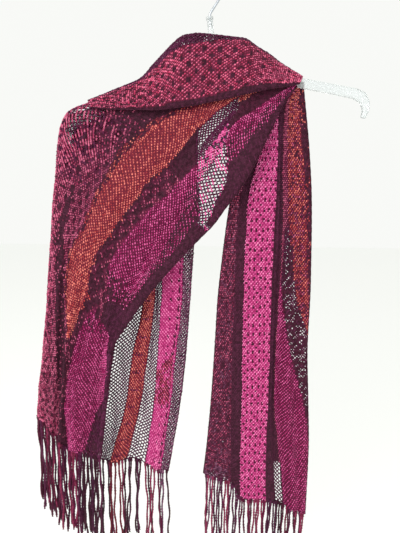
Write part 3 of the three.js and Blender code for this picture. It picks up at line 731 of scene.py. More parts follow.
def wales(surface, gauge):
    """Line values of the chains, about one wale apart, or gauge times as far in an open stripe."""
    low, high = surface.lines
    values = [low]
    borders = np.linspace(low, high, len(gauge) + 1)
    for wider, a, b in zip(gauge, borders[:-1], borders[1:]):
        run, _ = surface.at(np.linspace(a, b, 9)[:, None], np.linspace(0, 1, 60)[None, :])
        # The stripe's width where it is rather wide, so that the net is never too coarse there.
        width = np.quantile(np.linalg.norm(np.diff(run, axis=0), axis=2).sum(axis=0), 0.8)
        count = max(2, int(round(width / (WALE * wider))))
        values += list(a + (b - a) * np.arange(1, count + 1) / count)
    return np.array(values)


def scallop(surface, line):
    """How far the hem hangs down between two bunches of fringe."""
    low, high = surface.lines
    deep = 0 if surface is SURFACES["collar"] else SCALLOP
    return deep * np.abs(np.sin(SCALLOPS * math.pi * (line - low) / (high - low)))


print("courses along the front", len(SURFACES["front"].steps(COURSE)) - 1)

# %% [markdown]
# ## Knots by hand
#
# The places where the legs meet are the knots. Each swings to the left or right so that the diamonds open.
# A perfect lattice looks printed, so the knots drift in slow waves along the chains and each one is about a
# fifth of a millimetre off, as in any worn net. The cloth puckers a little too, and the ground has to follow
# the same pucker, or it would come through the stitches in blotches.

# %% knots
SWING = 0.92              # of half the way to the next chain
PUCKER = 0.45 * MM
HAND = 0.22 * MM          # how far a knot is out of place
LEG_LIFT = 0.25 * MM      # the lit legs stand this far out, and the others lie as far in


def chain_knots(surface, line, along, random):
    """The knots of every chain, their normals, the pucker there, and which legs face the light."""
    half = np.gradient(line) / 2
    i, k = np.meshgrid(np.arange(len(line)), np.arange(len(along)), indexing="ij")
    # Every other leg counts as lit: its bright yarn is a painted highlight, and the shaded yarn of the others
    # is painted shade.
    lit = (i + k) % 2 == 0
    drift = 0.5 * np.sin(0.37 * k + 0.8 * np.sin(0.13 * i)) + 0.35 * np.sin(0.9 * i + 0.21 * k)
    swing = (np.where(lit, SWING, -SWING) + drift) * half[:, None]
    pucker = PUCKER * np.sin(0.31 * i + 0.9 * np.sin(0.17 * k)) * np.sin(0.23 * k)
    knots, normals = surface.at(line[:, None] + swing, np.broadcast_to(along[None, :], swing.shape), pucker)
    knots = knots + random.normal(0, HAND, knots.shape)
    knots[..., 2] -= scallop(surface, line)[:, None] * ease(HEM_START, 1, along)[None, :]
    return knots, normals, pucker, lit


print("knots are %.2f mm out of place" % (HAND / MM))

# %% [markdown]
# ## Which cells have a ground
#
# Between two chains the ground is laid in cells. One cell for each leg would be exact, but on the large
# stretches a cell two courses long looks the same and saves half of the triangles. A cell has a ground if
# the chain on either side of it has one, so that no light comes through beside a dense stripe.

# %% ground cells
def ground_cells(surface, line, along, pucker, kind, cell):
    """The laid-in ground of a stretch, in cells of so many chains by so many courses."""
    rows, columns = np.arange(0, len(line), cell[0]), np.arange(0, len(along), cell[1])
    rows, columns = np.append(rows[:-1], len(line) - 1), np.append(columns[:-1], len(along) - 1)
    places, facing = surface.at(line[rows][:, None], along[columns][None, :], pucker[np.ix_(rows, columns)])
    middle = (columns[:-1] + columns[1:]) // 2
    left, right = kind[np.ix_(rows[:-1], middle)], kind[np.ix_(rows[1:], middle)]
    laid = LAID_IN[np.where(LAID_IN[left] >= 0, left, right)]
    vertices, triangles, owner = ground(places, facing, laid >= 0)
    return vertices, triangles, laid[laid >= 0][owner]


print("grounds are laid in", sorted({name for name in column(4) if name}))

# %% [markdown]
# ## Knitting a stretch
#
# Now a stretch can be knitted: rods where the net is open, grains where it has a ground, and the ground
# itself. All three go into one mesh, because they are one cloth. A particle system or an array of a stitch
# would need an object for each kind, and could not change its yarn from leg to leg.

# %% knit
def knit(name, surface, kind_of, gauge, cell, seed):
    """Builds the net of one stretch. kind_of(line, along, i, k) gives the index of each leg's kind."""
    line, along = wales(surface, gauge), surface.steps(COURSE)
    knots, normals, pucker, lit = chain_knots(surface, line, along, np.random.default_rng(seed))
    lit, normals = lit[:, :-1], normals[:, :-1]
    i, k = np.meshgrid(np.arange(len(line)), np.arange(len(along) - 1), indexing="ij")
    middle = np.broadcast_to((along[:-1] + along[1:])[None, :] / 2, i.shape)
    kind = kind_of(np.broadcast_to(line[:, None], i.shape), middle, i, k)

    radius = np.where(lit, WIDE[kind], THIN[kind])
    colour = np.where(lit, BRIGHT[kind], SHADED[kind])
    backed = LAID_IN[kind] >= 0
    lift = (np.where(lit, LEG_LIFT, -LEG_LIFT) * ~backed)[..., None] * normals
    starts, ends = knots[:, :-1] + lift, knots[:, 1:] + lift

    vertices, triangles, ids, smooth_faces = [], [], [], []

    def add(new_vertices, new_triangles, materials, rounded):
        triangles.append(new_triangles + sum(map(len, vertices)))
        vertices.append(new_vertices)
        ids.append(materials)
        smooth_faces.append(np.full(len(new_triangles), rounded))

    for chosen, pointed in ((~backed, False), (backed & (radius > 0), True)):
        v, t, each = rods(starts[chosen], ends[chosen], normals[chosen], radius[chosen], pointed)
        add(v, t, np.repeat(colour[chosen], each), False)
    add(*ground_cells(surface, line, along, pucker, kind, cell), True)
    obj = make_mesh(name, np.concatenate(vertices), np.concatenate(triangles), np.concatenate(ids),
                    list(YARNS.values()), np.concatenate(smooth_faces))
    print(name, "chains", len(line), "courses", len(along) - 1, "triangles", sum(map(len, triangles)))
    return obj


print("a course is", round(COURSE / MM, 1), "mm long")

# %% [markdown]
# ## Painting with knits
#
# A stripe plan decides the knit of each leg from its place on the cloth and its number. The plans are read
# off the photograph, as borders between stripes, and no picture is sampled. Where two knits meet, the
# real net changes leg by leg, so `scattered` picks an irregular share of the legs and there is no hard edge.

# %% plan helpers
def border(along, *marks):
    """The line where a stripe ends, from marks of (distance along, line)."""
    return np.interp(along, [m[0] for m in marks], [m[1] for m in marks])


def paint(kind, where, name):
    kind[where] = KIND_NAMES.index(name)


def scattered(i, k, share):
    """True on an irregular share of the legs, so that one knit fades into another."""
    return (np.sin(i * 12.9898 + k * 78.233) * 43758.5453) % 1 < share


print("half of the legs:", float(scattered(*np.indices((50, 50)), 0.5).mean()))

# %% [markdown]
# ## Figures and straight stripes
#
# Crochet and figured bands have small dark places at even steps. Two crossed waves, one counted in chains
# and one in courses, give a plain trellis of diamonds that stands for every figure here. The motifs of the
# real one could be drawn cell by cell, but they are somebody's design, and a trellis reads the same.

# %% figures and stripes
def trellis(i, k, across, up):
    """From 1 on the dark diamonds of a figured band to -1 between them, in chains and courses."""
    return np.cos(2 * math.pi * i / across) * np.cos(2 * math.pi * k / up)


def ragged(k, amount=0.07):
    """Teeth along a crochet stripe's border."""
    return amount * 2 * np.abs((k / 5) % 1 - 0.5)


def stripes(line, *rows):
    """The kinds of straight stripes, from rows of (from line, to line, kind)."""
    kind = np.full(line.shape, -1)
    for start, end, name in rows:
        paint(kind, (line >= start) & (line < end + 1e-6), name)
    return kind


def mix_of(name, kind_of, surface):
    """Prints how much of a stretch each knit takes, on a coarse grid of places."""
    i, k = np.meshgrid(np.arange(60), np.arange(120), indexing="ij")
    low, high = surface.lines
    kind = kind_of(low + (high - low) * i / 59, k / 119, i, k)
    share = np.bincount(kind.ravel(), minlength=len(KINDS)) / kind.size
    print(name, {n: round(float(s), 2) for n, s in zip(KIND_NAMES, share) if s > 0.02})


print("dark share of a trellis:", round(float((trellis(*np.indices((56, 70)), 8, 7) > 0.55).mean()), 2))

# %% [markdown]
# ## The magenta of the swag
#
# The magenta band starts at the right arm, narrows at the elbow, where the swag turns down, and goes into
# the painted shade of a crease there, where its legs turn maroon and plum. Below the elbow it comes out
# again. Beside it runs the smooth plum selvedge, and lower down a dark hem. A stripe of fixed width would be
# simpler, but the drape hides a part of each stripe.

# %% magenta band
def front_magenta(kind, line, along, i, k):
    low = border(along, (0.07, 0.3), (0.16, 0.93), (0.25, 1.4), (0.35, 1.6), (0.40, 1.3), (0.48, 0.75),
                 (0.64, 0.8))
    high = border(along, (0.05, 1.2), (0.14, 2.25), (0.21, 2.4), (0.29, 2.6), (0.36, 2.8), (0.45, 3.08),
                  (0.62, 3.03), (0.67, 2.6))
    band = (line > low) & (line < high) & (along < 0.67)
    paint(kind, band, "magenta")
    paint(kind, band & (line < low + 0.7) & scattered(i, k, 0.7), "magenta_shade")
    # Painted shade of the crease at the elbow: toward it more and more of the magenta legs turn maroon.
    paint(kind, band & scattered(i, k + 2, border(along, (0.59, 0), (0.67, 0.9))), "maroon_shade")
    paint(kind, (line <= low) | ((along > 0.67) & (line < 2.6)), "plum")


def front_lower_magenta(kind, line, along, i, k):
    low = border(along, (0.70, 2.9), (0.735, 2.2), (0.76, 1.6), (0.82, 0.6), (0.88, 0.7), (0.91, 1.5),
                 (1.0, 1.9))
    high = border(along, (0.70, 3.0), (0.735, 3.45), (0.78, 3.6), (0.84, 3.85), (0.91, 4.05), (1.0, 3.1))
    band = (along > 0.70) & (line > low) & (line < high)
    paint(kind, band, "magenta")
    # Painted shade of the same crease: at the top of the lower band a share of the legs are plum.
    paint(kind, band & scattered(i, k, border(along, (0.70, 0.6), (0.76, 0))), "plum")
    hem = (along > 0.78) & (line <= low)
    paint(kind, hem, "dark")
    paint(kind, hem & scattered(i, k, 0.7), "net")


print("the magenta band hides from 0.67 to 0.70 along the swag")

# %% [markdown]
# ## The orange and the figured maroon of the swag
#
# The orange band lies between the magenta and the fold, and runs out beside a long crease, whose shade is
# painted in with dark legs. From it to the fold the cloth is maroon with rows of dark diamonds. The shadow of
# the turned-over top on its upper end is painted in too, as dark legs. That shade could be left to the lamps,
# but here it is painted.

# %% orange and maroon
ORANGE_FOLD_SIDE = ((0.15, 4.7), (0.27, 5.2), (0.40, 5.15), (0.50, 5.05), (0.58, 4.9), (0.63, 5.2),
                    (0.70, 5.1), (0.78, 4.5))


def front_orange(kind, line, along, i, k):
    low = border(along, (0.10, 3.1), (0.17, 3.5), (0.22, 3.9), (0.29, 3.7), (0.38, 4.05), (0.45, 3.85),
                 (0.53, 3.8), (0.60, 4.0), (0.64, 4.0), (0.69, 3.6), (0.75, 4.0), (0.78, 4.6))
    high = border(along, *ORANGE_FOLD_SIDE)
    band = (line > low) & (line < high) & (along < 0.78)
    paint(kind, band, "orange")
    edges = (line < low + 0.12) | (line > high - 0.12)
    paint(kind, band & edges & scattered(i, k, 0.6), "maroon_shade")


def front_maroon(kind, line, along, i, k, figure):
    beside = line >= border(along, *ORANGE_FOLD_SIDE)
    paint(kind, beside, "maroon")
    paint(kind, beside & (figure > 0.45), "maroon_shade")
    # Painted shadow of the turned-over top: under its rim a share of the maroon legs are dark.
    shade = border(along, (0.26, 0.95), (0.33, 0.6), (0.40, 0))
    shade = shade * border(line, (5.0, 1), (5.55, 1), (5.85, 0.1))
    paint(kind, beside & scattered(i, k + 3, shade), "dark")
    low = border(along, (0.48, 5.5), (0.60, 5.5), (0.69, 5.15), (0.75, 4.95), (0.83, 4.3), (0.91, 4.08),
                 (1.0, 3.1))
    high = border(along, (0.48, 5.5), (0.60, 5.8), (0.69, 5.5), (0.83, 5.3), (0.91, 5.12), (1.0, 5.0))
    # Painted shade along the long crease beside the orange: most legs in it are dark.
    crease = (along > 0.48) & (line > low) & (line < high)
    paint(kind, crease & scattered(i, k + 4, 0.85), "dark")


print("the orange band has", len(ORANGE_FOLD_SIDE), "marks on its fold side")

# %% [markdown]
# ## Where the swag is see-through
#
# Near the right arm nothing hangs behind the swag, so its open net shows the room. On the round of the
# shoulder it is one layer over nothing too. Thinning the ground out there leg by leg could leave ragged
# fingers, so a border on each side closes the clear part off.

# %% see-through net
def front_see_through(kind, line, along, i, k):
    start = border(line, (0.7, 0.38), (1.0, 0.335), (1.15, 0.285), (1.5, 0.23), (2.55, 0.17), (2.8, 0.138),
                   (3.9, 0.10))
    end = border(line, (0.7, 0.395), (1.1, 0.393), (1.7, 0.355), (2.1, 0.318), (2.7, 0.275), (3.9, 0.228))
    clear = (along > start) & (along < end) & (line < 3.9)
    paint(kind, clear & (line < 2.6), "magenta_net")
    paint(kind, clear & (line < 2.6) & scattered(i, k, border(line, (1.4, 0.75), (2.4, 0.3))), "open")
    paint(kind, clear & (line >= 2.6), "net")
    # Past the clear part the net between magenta and orange is closed and dark: painted shade of the shaded
    # cloth behind it.
    paint(kind, (line > 2.9) & (line < 3.9) & (along > end) & (along < 0.30), "dark")


def front_shoulder(kind, line, along, i, k):
    thin = border(line, (5.2, 0), (5.8, 1)) * border(along, (0.28, 0), (0.33, 1), (0.40, 1), (0.50, 0))
    paint(kind, scattered(i, k, thin), "maroon_net")
    paint(kind, scattered(i + 3, k, 0.45 * thin), "net")
    paint(kind, (line > 5.7) & scattered(i, k, 0.35), "maroon_net")


def front_kinds(line, along, i, k):
    figure = trellis(i, k, 8, 9)
    kind = np.full(line.shape, KIND_NAMES.index("maroon_shade"))
    paint(kind, (figure < 0) & (along > 0.33), "maroon")
    # Painted shade along the crease between the magenta and the orange: a share of the legs turn dark maroon.
    paint(kind, (line > 3) & scattered(i, k, border(along, (0.5, 0), (0.6, 0.4))), "maroon_shade")
    for part in (front_magenta, front_lower_magenta, front_orange):
        part(kind, line, along, i, k)
    front_maroon(kind, line, along, i, k, figure)
    for part in (front_see_through, front_shoulder):
        part(kind, line, along, i, k)
    return kind


mix_of("front", front_kinds, SURFACES["front"])

# %% [markdown]
# ## The stripes of the back
#
# Behind the swag the stripes hang straight: a dusty selvedge, crocheted pink, open net, crocheted orange,
# open net again and maroon at the fold. Crochet leaves small round gaps, which are dark legs in a trellis.
# Where the pink stripe folds, most of its legs take the darker rose of the figured band for a hand's breadth:
# painted shade of the fold.

# %% back plan
def back_kinds(line, along, i, k):
    kind = stripes(line, (0, 0.9, "fine"), (0.9, 1, "plum"), (1, 2, "pink_crochet"), (2, 3, "open"),
                   (3, 4, "orange_crochet"), (4, 5, "open"), (5, 6, "maroon"))
    figure = trellis(i, k, 3.5, 5)
    paint(kind, (figure > 0.80) & (line > 1) & (line < 1.94), "pink_gap")
    paint(kind, (figure > 0.84) & (line > 3.06) & (line < 3.94), "orange_gap")
    paint(kind, (line > 1) & (line < 1.02 + ragged(k, 0.15)), "plum")
    paint(kind, (line > 3) & (line < 4) & (figure < -0.84), "maroon")
    # Painted shade of a fold in the pink stripe: most of its legs there are the darker rose.
    turned = (line > 1) & (line < 2) & (along > 0.72 + 0.05 * (line - 1)) & (along < 0.86)
    paint(kind, turned & scattered(i, k + 1, 0.7), "flower")
    return kind


mix_of("back", back_kinds, SURFACES["back"])

# %% [markdown]
# ## The stripes of the right end
#
# Here we see the right side of the shawl: maroon at the selvedge, plum, the crocheted pink stripe, plum and
# maroon. At the far edge an orange stripe slants out of sight round the cloth, a magenta one comes in
# below it, and a strip of open net runs between them. So the borders there are curves along the cloth.

# %% right plan
def right_kinds(line, along, i, k):
    kind = stripes(line, (0, 1, "maroon"), (1, 2, "plum"), (2, 3, "pink_crochet"), (3, 4, "plum"),
                   (4, 5, "maroon"))
    pink = (line > 2) & (line < 3)
    paint(kind, (trellis(i, k, 3.5, 5) > 0.72) & pink, "pink_gap")
    paint(kind, pink & ((line < 2 + ragged(k)) | (line > 3 - ragged(k + 2))), "plum")
    paint(kind, (line < 1) & scattered(i, k + 5, 0.35), "maroon_shade")
    paint(kind, (line < 1) & scattered(i + 2, k, 0.35), "grey")
    dusty = border(along, (0.3, 0), (0.9, 0.06), (0.94, 0.5))
    paint(kind, (line < 0.85) & scattered(i, k, dusty), "fine")
    right_edge(kind, line, along, i, k)
    return kind


def right_edge(kind, line, along, i, k):
    orange = line > border(along, (0, 4.2), (0.3, 4.25), (0.46, 4.6), (0.54, 5.0))
    net_start = border(along, (0.30, 4.1), (0.42, 4.05), (0.58, 4.5), (0.70, 4.85), (0.8, 5.0))
    netted = (line > 4) & (along > 0.30) & (line > net_start)
    paint(kind, netted, "maroon_shade")
    paint(kind, netted & scattered(i, k, 0.5), "net")
    paint(kind, orange, "orange")
    paint(kind, orange & scattered(i, k, 0.28), "maroon")
    paint(kind, orange & scattered(i + 7, k, 0.12), "maroon_shade")
    rim = line > border(along, (0, 4.68), (0.35, 4.86), (0.5, 5))
    paint(kind, rim & scattered(i, k + 1, 0.8), "maroon_shade")
    paint(kind, (line > 4) & (line <= net_start) & (along > 0.42), "magenta")
    paint(kind, (line > 3.5) & (line < 4.05) & (along > 0.88), "net")


mix_of("right", right_kinds, SURFACES["right"])

# %% [markdown]
# ## The figured band of the turned-over top
#
# The top shows the rose figured band, with dark diamonds, between a dark net at the crest and the bound rim.
# At both ends its figure fades into finer flecks. The real motifs are not traced: a common trellis stands
# for them.

# %% turned-over plan
def collar_kinds(line, along, i, k):
    fall = np.where(line > 0, 1 - np.cos(np.abs(line) * math.pi / 2), -1)
    upper = border(along, (0, 0.03), (0.3, 0.12), (0.5, 0.18), (0.6, 0.10), (0.75, 0.04))
    lower = border(along, (0, 0.94), (0.3, 0.93), (0.6, 0.90), (1, 0.80))
    kind = np.full(line.shape, KIND_NAMES.index("net"))
    flower = (fall > upper) & (fall < lower)
    figure = trellis(i, k, 8, 7)
    paint(kind, flower, "flower")
    paint(kind, flower & (figure > 0.2), "flower_half")
    paint(kind, flower & (figure > 0.55), "dark")
    right_flecks = border(along, (0.4, 0.12), (0.68, 0.2), (0.95, 0.6))
    paint(kind, flower & scattered(i + 4, k, right_flecks), "flower_half")
    # A dark band along the rim: at the right end the real plum band, further left painted shade under the
    # rim.
    paint(kind, fall >= lower, "dark")
    paint(kind, (fall >= lower) & scattered(i, k + 6, 0.3), "plum")
    left_flecks = border(along, (0, 0.55), (0.25, 0.35), (0.45, 0))
    paint(kind, flower & scattered(i, k, left_flecks), "flower_half")
    paint(kind, flower & scattered(i, k + 9, border(along, (0, 0.35), (0.2, 0.2), (0.4, 0))), "dark")
    return kind


mix_of("turned-over top", collar_kinds, SURFACES["collar"])

# %% [markdown]
# ## Knit the four stretches
#
# Each stretch is knitted, rides on the shawl's one body, and replaces the plain solid that it dresses. The
# gauge says how much wider than a wale the chains of each stripe stand, and the last pair is the size of the
# ground's cells, in chains and courses.

# %% the four stretches
# piece: CAD node, stripe plan, how much wider than a wale each stripe's chains stand, and the ground's cells
PIECES = {
    "front": ("shawl_front_swag", front_kinds, [1, 1.25, 1, 1.25, 1, 0.75], (1, 2)),
    "back": ("shawl_back_left", back_kinds, [1.05, 1, 1.45, 1, 1.5, 1.2], (1, 2)),
    "right": ("shawl_right_end", right_kinds, [1, 1, 1, 1, 1], (1, 1)),
    "collar": ("shawl_collar", collar_kinds, [1] * 8, (1, 1)),
}
cloth = {}
for seed, (key, (node, kinds, gauge, cell)) in enumerate(PIECES.items()):
    cloth[key] = knit(key + "_knit", SURFACES[key], kinds, gauge, cell, seed)
    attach(cloth[key], "root")
    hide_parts(node)
print("stretches", sorted(cloth))

# %% [markdown]
# ## Round tubes
#
# Bindings and fringes are round cords. A curve with a bevel makes one too, but its radius and its twist are
# hard to steer for a hundred strands, and it has to be turned into a mesh for the export. So the rings are
# worked out for all the cords at once.

# %% tubes
def tubes(paths, radii, sides):
    """Closed round tubes along many paths of equal length: vertices and triangles."""
    paths = np.asarray(paths, float)                    # (tubes, rings, 3)
    count, rings = paths.shape[:2]
    run = np.gradient(paths, axis=1)
    run /= np.linalg.norm(run, axis=2, keepdims=True) + 1e-12
    helper = np.where(np.abs(run[..., 1:2]) > 0.9, np.array([1.0, 0, 0]), np.array([0, 1.0, 0]))
    side = np.cross(run, helper)
    side /= np.linalg.norm(side, axis=2, keepdims=True) + 1e-12
    out = np.cross(side, run)
    angle = np.arange(sides) / sides * 2 * math.pi
    r = np.asarray(radii, float)[..., None, None]
    ring = (side[:, :, None] * np.cos(angle)[None, None, :, None]
            + out[:, :, None] * np.sin(angle)[None, None, :, None])
    body = (paths[:, :, None] + ring * r).reshape(count, rings * sides, 3)
    vertices = np.concatenate([body, paths[:, :1], paths[:, -1:]], axis=1)
    each = rings * sides + 2
    faces = []
    for a in range(rings - 1):
        for b in range(sides):
            p, q = a * sides + b, a * sides + (b + 1) % sides
            faces += [(p, q, q + sides), (p, q + sides, p + sides)]
    for b in range(sides):
        faces += [(rings * sides, (b + 1) % sides, b)]
        low = (rings - 1) * sides
        faces += [(rings * sides + 1, low + b, low + (b + 1) % sides)]
    triangles = (np.arange(count)[:, None, None] * each + np.array(faces)[None]).reshape(-1, 3)
    return vertices.reshape(-1, 3), triangles, len(faces)


short_cord = tubes([[(0, 0, 0), (0, 0, 1), (0, 0, 2)]], np.full((1, 3), 0.1), 4)
print("a tube of 3 rings and 4 sides has", short_cord[2], "triangles")

# %% [markdown]
# ## Bound edges
#
# A row of close stitches binds each selvedge and hem, so that the net can't run. It is a cord whose radius
# swells with each stitch. It follows the same surface as the net, scallops and all.

# %% binding
BINDING_STATIONS = 160
BINDING_RADIUS = 0.8 * MM


def binding(name, surface, edges):
    """A cord of close stitches along the given edges: ("line", value) or ("along", value)."""
    t = np.linspace(0, 1, BINDING_STATIONS)
    low, high = surface.lines
    parts = []
    for which, value in edges:
        fixed = np.full(BINDING_STATIONS, float(value))
        if which == "line":
            path, _ = surface.at(fixed, t)
        else:
            path, _ = surface.at(low + (high - low) * t, fixed)
            path[:, 2] -= scallop(surface, low + (high - low) * t)
        parts.append(path)
    radius = BINDING_RADIUS * (1 + 0.25 * np.sin(np.arange(BINDING_STATIONS) * 2.1))
    vertices, triangles, _ = tubes(parts, np.broadcast_to(radius, (len(parts), BINDING_STATIONS)), 5)
    obj = make_mesh(name, vertices, triangles, None, [YARNS["plum_dark"]], smooth=True)
    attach(obj, "root")
    return obj


print("a binding is %.1f mm thick" % (2 * BINDING_RADIUS / MM))

# %% [markdown]
# ## How a fringe hangs
#
# Strands are knotted into the hem one by one and then hang in small bunches, because yarn clings to yarn.
# Each leans towards the middle of its bunch of three and wanders a little on its own. Hair particles could
# do this, but each strand has to stay a closed mesh of the right length, and has to lie where the solid was.

# %% strands
RINGS = 33                # along a strand
BUNCH = 3


def strand_centres(surface, strands, length, random):
    """The middle line of every strand, and the stripe line it starts at."""
    low, high = surface.lines
    fine = np.linspace(low, high, 200)
    hem, _ = surface.at(fine, np.ones(200))
    run = np.concatenate([[0], np.cumsum(np.linalg.norm(np.diff(hem[:, :2], axis=0), axis=1))])
    number = np.arange(strands)
    share = (number + 0.5 + random.uniform(-0.25, 0.25, strands)) / strands
    line = np.interp(2 * MM + (run[-1] - 4 * MM) * share, run, fine)
    root, _ = surface.at(line, np.ones(strands))
    t = np.linspace(0, 1, RINGS)[None]
    long = length * (1 + 0.07 * random.normal(size=strands).clip(-1.4, 1))
    # Three of these four rows are used. A fourth is drawn so that later draws stay as they are.
    phase = random.uniform(0, 2 * math.pi, (4, strands))[..., None]
    lean = (number // BUNCH * BUNCH + 1 - number) * run[-1] / strands * random.uniform(0.35, 0.95, strands)
    lean = lean + 2.5 * MM * random.normal(size=strands).clip(-1.5, 1.5)
    centre = np.repeat(root[:, None], RINGS, axis=1)
    centre[..., 2] -= t * long[:, None] + 0.5 * MM
    centre[..., 0] += (lean[:, None] * ease(-0.15, 0.75, t) + 2.2 * MM * t * np.sin(8 * t + phase[0])
                       + 0.7 * MM * ease(0, 0.2, t) * np.sin(19 * t + phase[1]))
    side = np.where(number % 2 == 0, 1.0, -1.0)
    centre[..., 1] += side[:, None] * 1.8 * MM * ease(0, 0.35, t) + 1.6 * MM * t * np.sin(6 * t + phase[2])
    return centre, line


print("a strand has", RINGS, "rings")

# %% [markdown]
# ## Two plies make a strand
#
# Fringe yarn is two thin plies laid round each other, which gives it its fine diagonal shadow. One smooth
# tube would look like wire. There is a knot at the hem and a small one near the end, and the cut end is thin.

# %% fringe
PLY_RADIUS = 1.20 * MM
PLY_OFFSET = 0.95 * MM    # from the strand's middle line
TWISTS = 13


def fringe(name, node, surface, strands, length, colour_of, seed):
    """Two-ply strands from the hem of a stretch."""
    random = np.random.default_rng(seed)
    centre, line = strand_centres(surface, strands, length, random)
    t = np.linspace(0, 1, RINGS)
    twist = 2 * math.pi * t * TWISTS
    plies = []
    for turn in (0, math.pi):
        ply = centre.copy()
        ply[..., 0] += PLY_OFFSET * np.cos(twist + turn)[None]
        ply[..., 1] += PLY_OFFSET * np.sin(twist + turn)[None]
        plies.append(ply)
    knot = np.where(t < 0.04, 1.5, np.where((t > 0.90) & (t < 0.94), 1.35, 1.0))
    radii = np.broadcast_to(PLY_RADIUS * knot * np.where(t > 0.97, 0.6, 1.0), (2 * strands, RINGS))
    vertices, triangles, each = tubes(np.concatenate(plies), radii, 4)
    colours = np.array([YARN_NAMES.index(c) for c in colour_of(line, random)])
    ids = np.repeat(np.concatenate([colours, colours]), each)
    obj = make_mesh(name, vertices, triangles, ids, list(YARNS.values()), smooth=True)
    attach(obj, "root")
    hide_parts(node)
    print(name, "strands", strands, "triangles", len(triangles))
    return obj


print("the plies of a strand cross", 2 * TWISTS, "times")

# %% [markdown]
# ## The three fringes
#
# The colours follow the stripe above. Each range of lines names the yarns its strands may have, mostly dark,
# because a thin strand against a pale room reads darker than the cloth it comes from.

# %% fringes
def strand_colours(*rows):
    """From rows of (from line, to line, yarns), a function that draws a yarn for each strand."""
    def colour_of(line, random):
        names = []
        for value in line:
            choices = next(c for start, end, c in rows if start <= value <= end + 1e-6)
            names.append(choices[random.integers(len(choices))])
        return names
    return colour_of


front_colours = strand_colours((0, 1, ["plum_dark", "plum"]), (1, 2, ["net", "plum_dark"]),
                               (2, 3, ["wine", "plum", "magenta_dark"]), (3, 4, ["plum_dark", "plum"]),
                               (4, 6, ["maroon_dark", "wine", "plum"]))
back_colours = strand_colours((0, 1, ["grey_plum", "plum_dark"]),
                              (1, 2, ["magenta_dark", "wine", "plum_dark"]),
                              (2, 3, ["net", "plum_dark"]), (3, 4, ["orange_dark", "wine"]),
                              (4, 5, ["plum_dark", "net"]), (5, 6, ["maroon_dark", "plum"]))
right_colours = strand_colours((0, 1, ["grey_plum", "wine", "plum"]), (1, 2, ["plum", "plum_dark"]),
                               (2, 3, ["magenta_dark", "wine", "maroon_dark"]), (3, 4, ["plum_dark", "net"]),
                               (4, 5, ["maroon_dark", "wine", "plum"]))
# stretch: CAD node, strands, their length in metres, their colours, and the seed
FRINGES = {
    "front": ("fringe_front_left", 32, 0.150, front_colours, 11),
    "back": ("fringe_back_left", 38, 0.152, back_colours, 12),
    "right": ("fringe_right", 45, 0.152, right_colours, 13),
}
for key, (node, *facts) in FRINGES.items():
    fringe(key + "_fringe", node, SURFACES[key], *facts)
print("strands in all", sum(row[1] for row in FRINGES.values()))

# %% [markdown]
# ## The four bindings
#
# The selvedge and the hem of each stretch are bound. The right end shows both of its long edges, and the
# turned-over top only its rim.

# %% bindings
BOUND = {
    "front": [("line", 0), ("along", 1)],
    "back": [("line", 0), ("along", 1)],
    "right": [("line", 0), ("line", 5), ("along", 1)],
    "collar": [("line", 1)],
}
bindings = {key: binding(key + "_binding", SURFACES[key], edges) for key, edges in BOUND.items()}
print("bindings", sorted(bindings))

# %% [markdown]
# ## Clear hanger plastic
#
# The hanger is moulded polystyrene, clear and slightly milky. Most light passes through it, and its edges
# and curls catch small highlights. Full glass would vanish against the pale room, so a quarter of the light
# is scattered back. Its polish varies in soft clouds about 25 mm wide, as on any handled plastic.

# %% hanger plastic
PLASTIC_CLOUD = 25 * MM
POLYSTYRENE_IOR = 1.5     # a little under the 1.59 of the pure plastic, so that its edges stay pale


def clear_plastic():
    m = new_material("milky_clear_polystyrene")
    place = add_node(m, "ShaderNodeTexCoord").outputs["Object"]
    haze = add_node(m, "ShaderNodeTexNoise", {"Vector": place}, {"Scale": 1 / PLASTIC_CLOUD, "Detail": 2.0})
    rough = add_node(m, "ShaderNodeMapRange", {"Value": haze.outputs["Fac"]},
                     {"To Min": 0.08, "To Max": 0.2})
    shader = add_node(m, "ShaderNodeBsdfPrincipled", {"Roughness": rough.outputs["Result"]},
                      {"IOR": POLYSTYRENE_IOR, "Base Color": linear("#eaeeee"), "Transmission Weight": 0.75})
    return finish_material(m, shader)


def dress(node, material):
    obj = bpy.data.objects[node]
    obj.data.materials.clear()
    obj.data.materials.append(material)
    print(node, "is", material.name)


dress("hanger_body", clear_plastic())

# %% [markdown]
# ## Drawn wire
#
# The hook is steel wire, drawn through a die and bent. It is bright and hard, with a lustre that is a little
# duller where the die dragged. A metal needs no IOR of its own: its colour and its roughness make the look.

# %% hook wire
WIRE_CLOUD = 3.3 * MM     # about the wire's own thickness


def drawn_wire():
    m = new_material("bright_drawn_steel_wire")
    place = add_node(m, "ShaderNodeTexCoord").outputs["Object"]
    cloud = add_node(m, "ShaderNodeTexNoise", {"Vector": place}, {"Scale": 1 / WIRE_CLOUD})
    rough = add_node(m, "ShaderNodeMapRange", {"Value": cloud.outputs["Fac"]},
                     {"To Min": 0.3, "To Max": 0.36})
    shader = add_node(m, "ShaderNodeBsdfPrincipled", {"Roughness": rough.outputs["Result"]},
                      {"Metallic": 1.0, "Base Color": linear("#aeb3b8")})
    return finish_material(m, shader)


dress("hanger_hook", drawn_wire())

# %% [markdown]
# ## Cloth facts
#
# The flat size of what shows of each stretch is worked out and printed.
# Hanging net draws together: laid flat, each stretch is about half as wide again as it hangs.

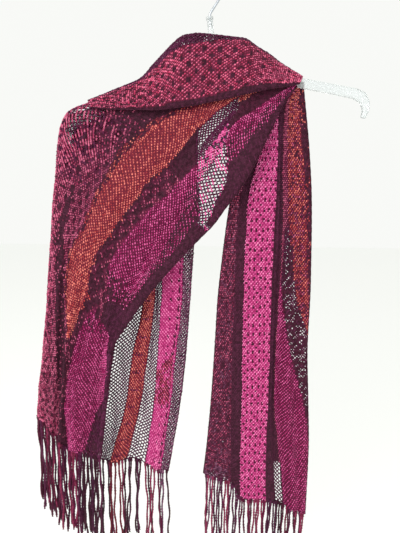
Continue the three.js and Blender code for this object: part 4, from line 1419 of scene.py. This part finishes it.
# %% flat sizes
DRAWN_TOGETHER = 1.45
for key, surface in SURFACES.items():
    long = float(surface.length().mean())
    wide = DRAWN_TOGETHER * surface.area() / long
    print(key, "flat %.3f x %.3f m" % (wide, long))

# %% [markdown]
# ## Lamps
#
# The photograph's light is broad daylight from the front left. A sun lamp would cut hard shadows into the
# folds, so the key lamp is a large square, near the cloth, and a weaker one on the right fills the shade.

# %% lamps
def area_light(name, place, aim, size, power):
    data = bpy.data.lights.new(name, "AREA")
    data.size = size
    data.energy = power
    obj = bpy.data.objects.new(name, data)
    bpy.context.scene.collection.objects.link(obj)
    obj.location = place
    obj.rotation_euler = (Vector(aim) - Vector(place)).to_track_quat("-Z", "Y").to_euler()
    return obj


area_light("window_light", (-1.2, -1.9, 0.5), (0, 0, -0.45), 1.6, 42)
area_light("fill_light", (1.6, -1.6, -0.2), (0, 0, -0.5), 1.6, 8)
print("lamps", len(bpy.data.lights))

# %% [markdown]
# ## Floor and room
#
# A plain pale floor below the fringes and a pale sky stand for the room. The holes of the net show them, so
# they have to be as light as the photograph's background, or the whole net looks darker.

# %% floor and room
FLOOR_REACH, FLOOR_LEVEL = 6.0, -1.3


def floor():
    mesh = bpy.data.meshes.new("floor")
    corners = [(x, y, FLOOR_LEVEL) for x, y in
               ((-FLOOR_REACH, -FLOOR_REACH), (FLOOR_REACH, -FLOOR_REACH),
                (FLOOR_REACH, FLOOR_REACH), (-FLOOR_REACH, FLOOR_REACH))]
    mesh.from_pydata(corners, [], [(0, 1, 2, 3)])
    # Matt paint has no highlight, so the floor stays an even, pale ground.
    m = new_material("pale_matt_floor")
    shader = add_node(m, "ShaderNodeBsdfPrincipled",
                      values={"Roughness": 0.9, "Base Color": linear("#fafbf9")})
    mesh.materials.append(finish_material(m, shader))
    obj = bpy.data.objects.new("floor", mesh)
    bpy.context.scene.collection.objects.link(obj)


floor()
world = bpy.data.worlds.new("pale_room")
world.use_nodes = True
world.node_tree.nodes["Background"].inputs["Color"].default_value = linear("#fdfefb")
world.node_tree.nodes["Background"].inputs["Strength"].default_value = 0.96
bpy.context.scene.world = world
bpy.context.scene.view_settings.view_transform = "Standard"
print("room", world.name)
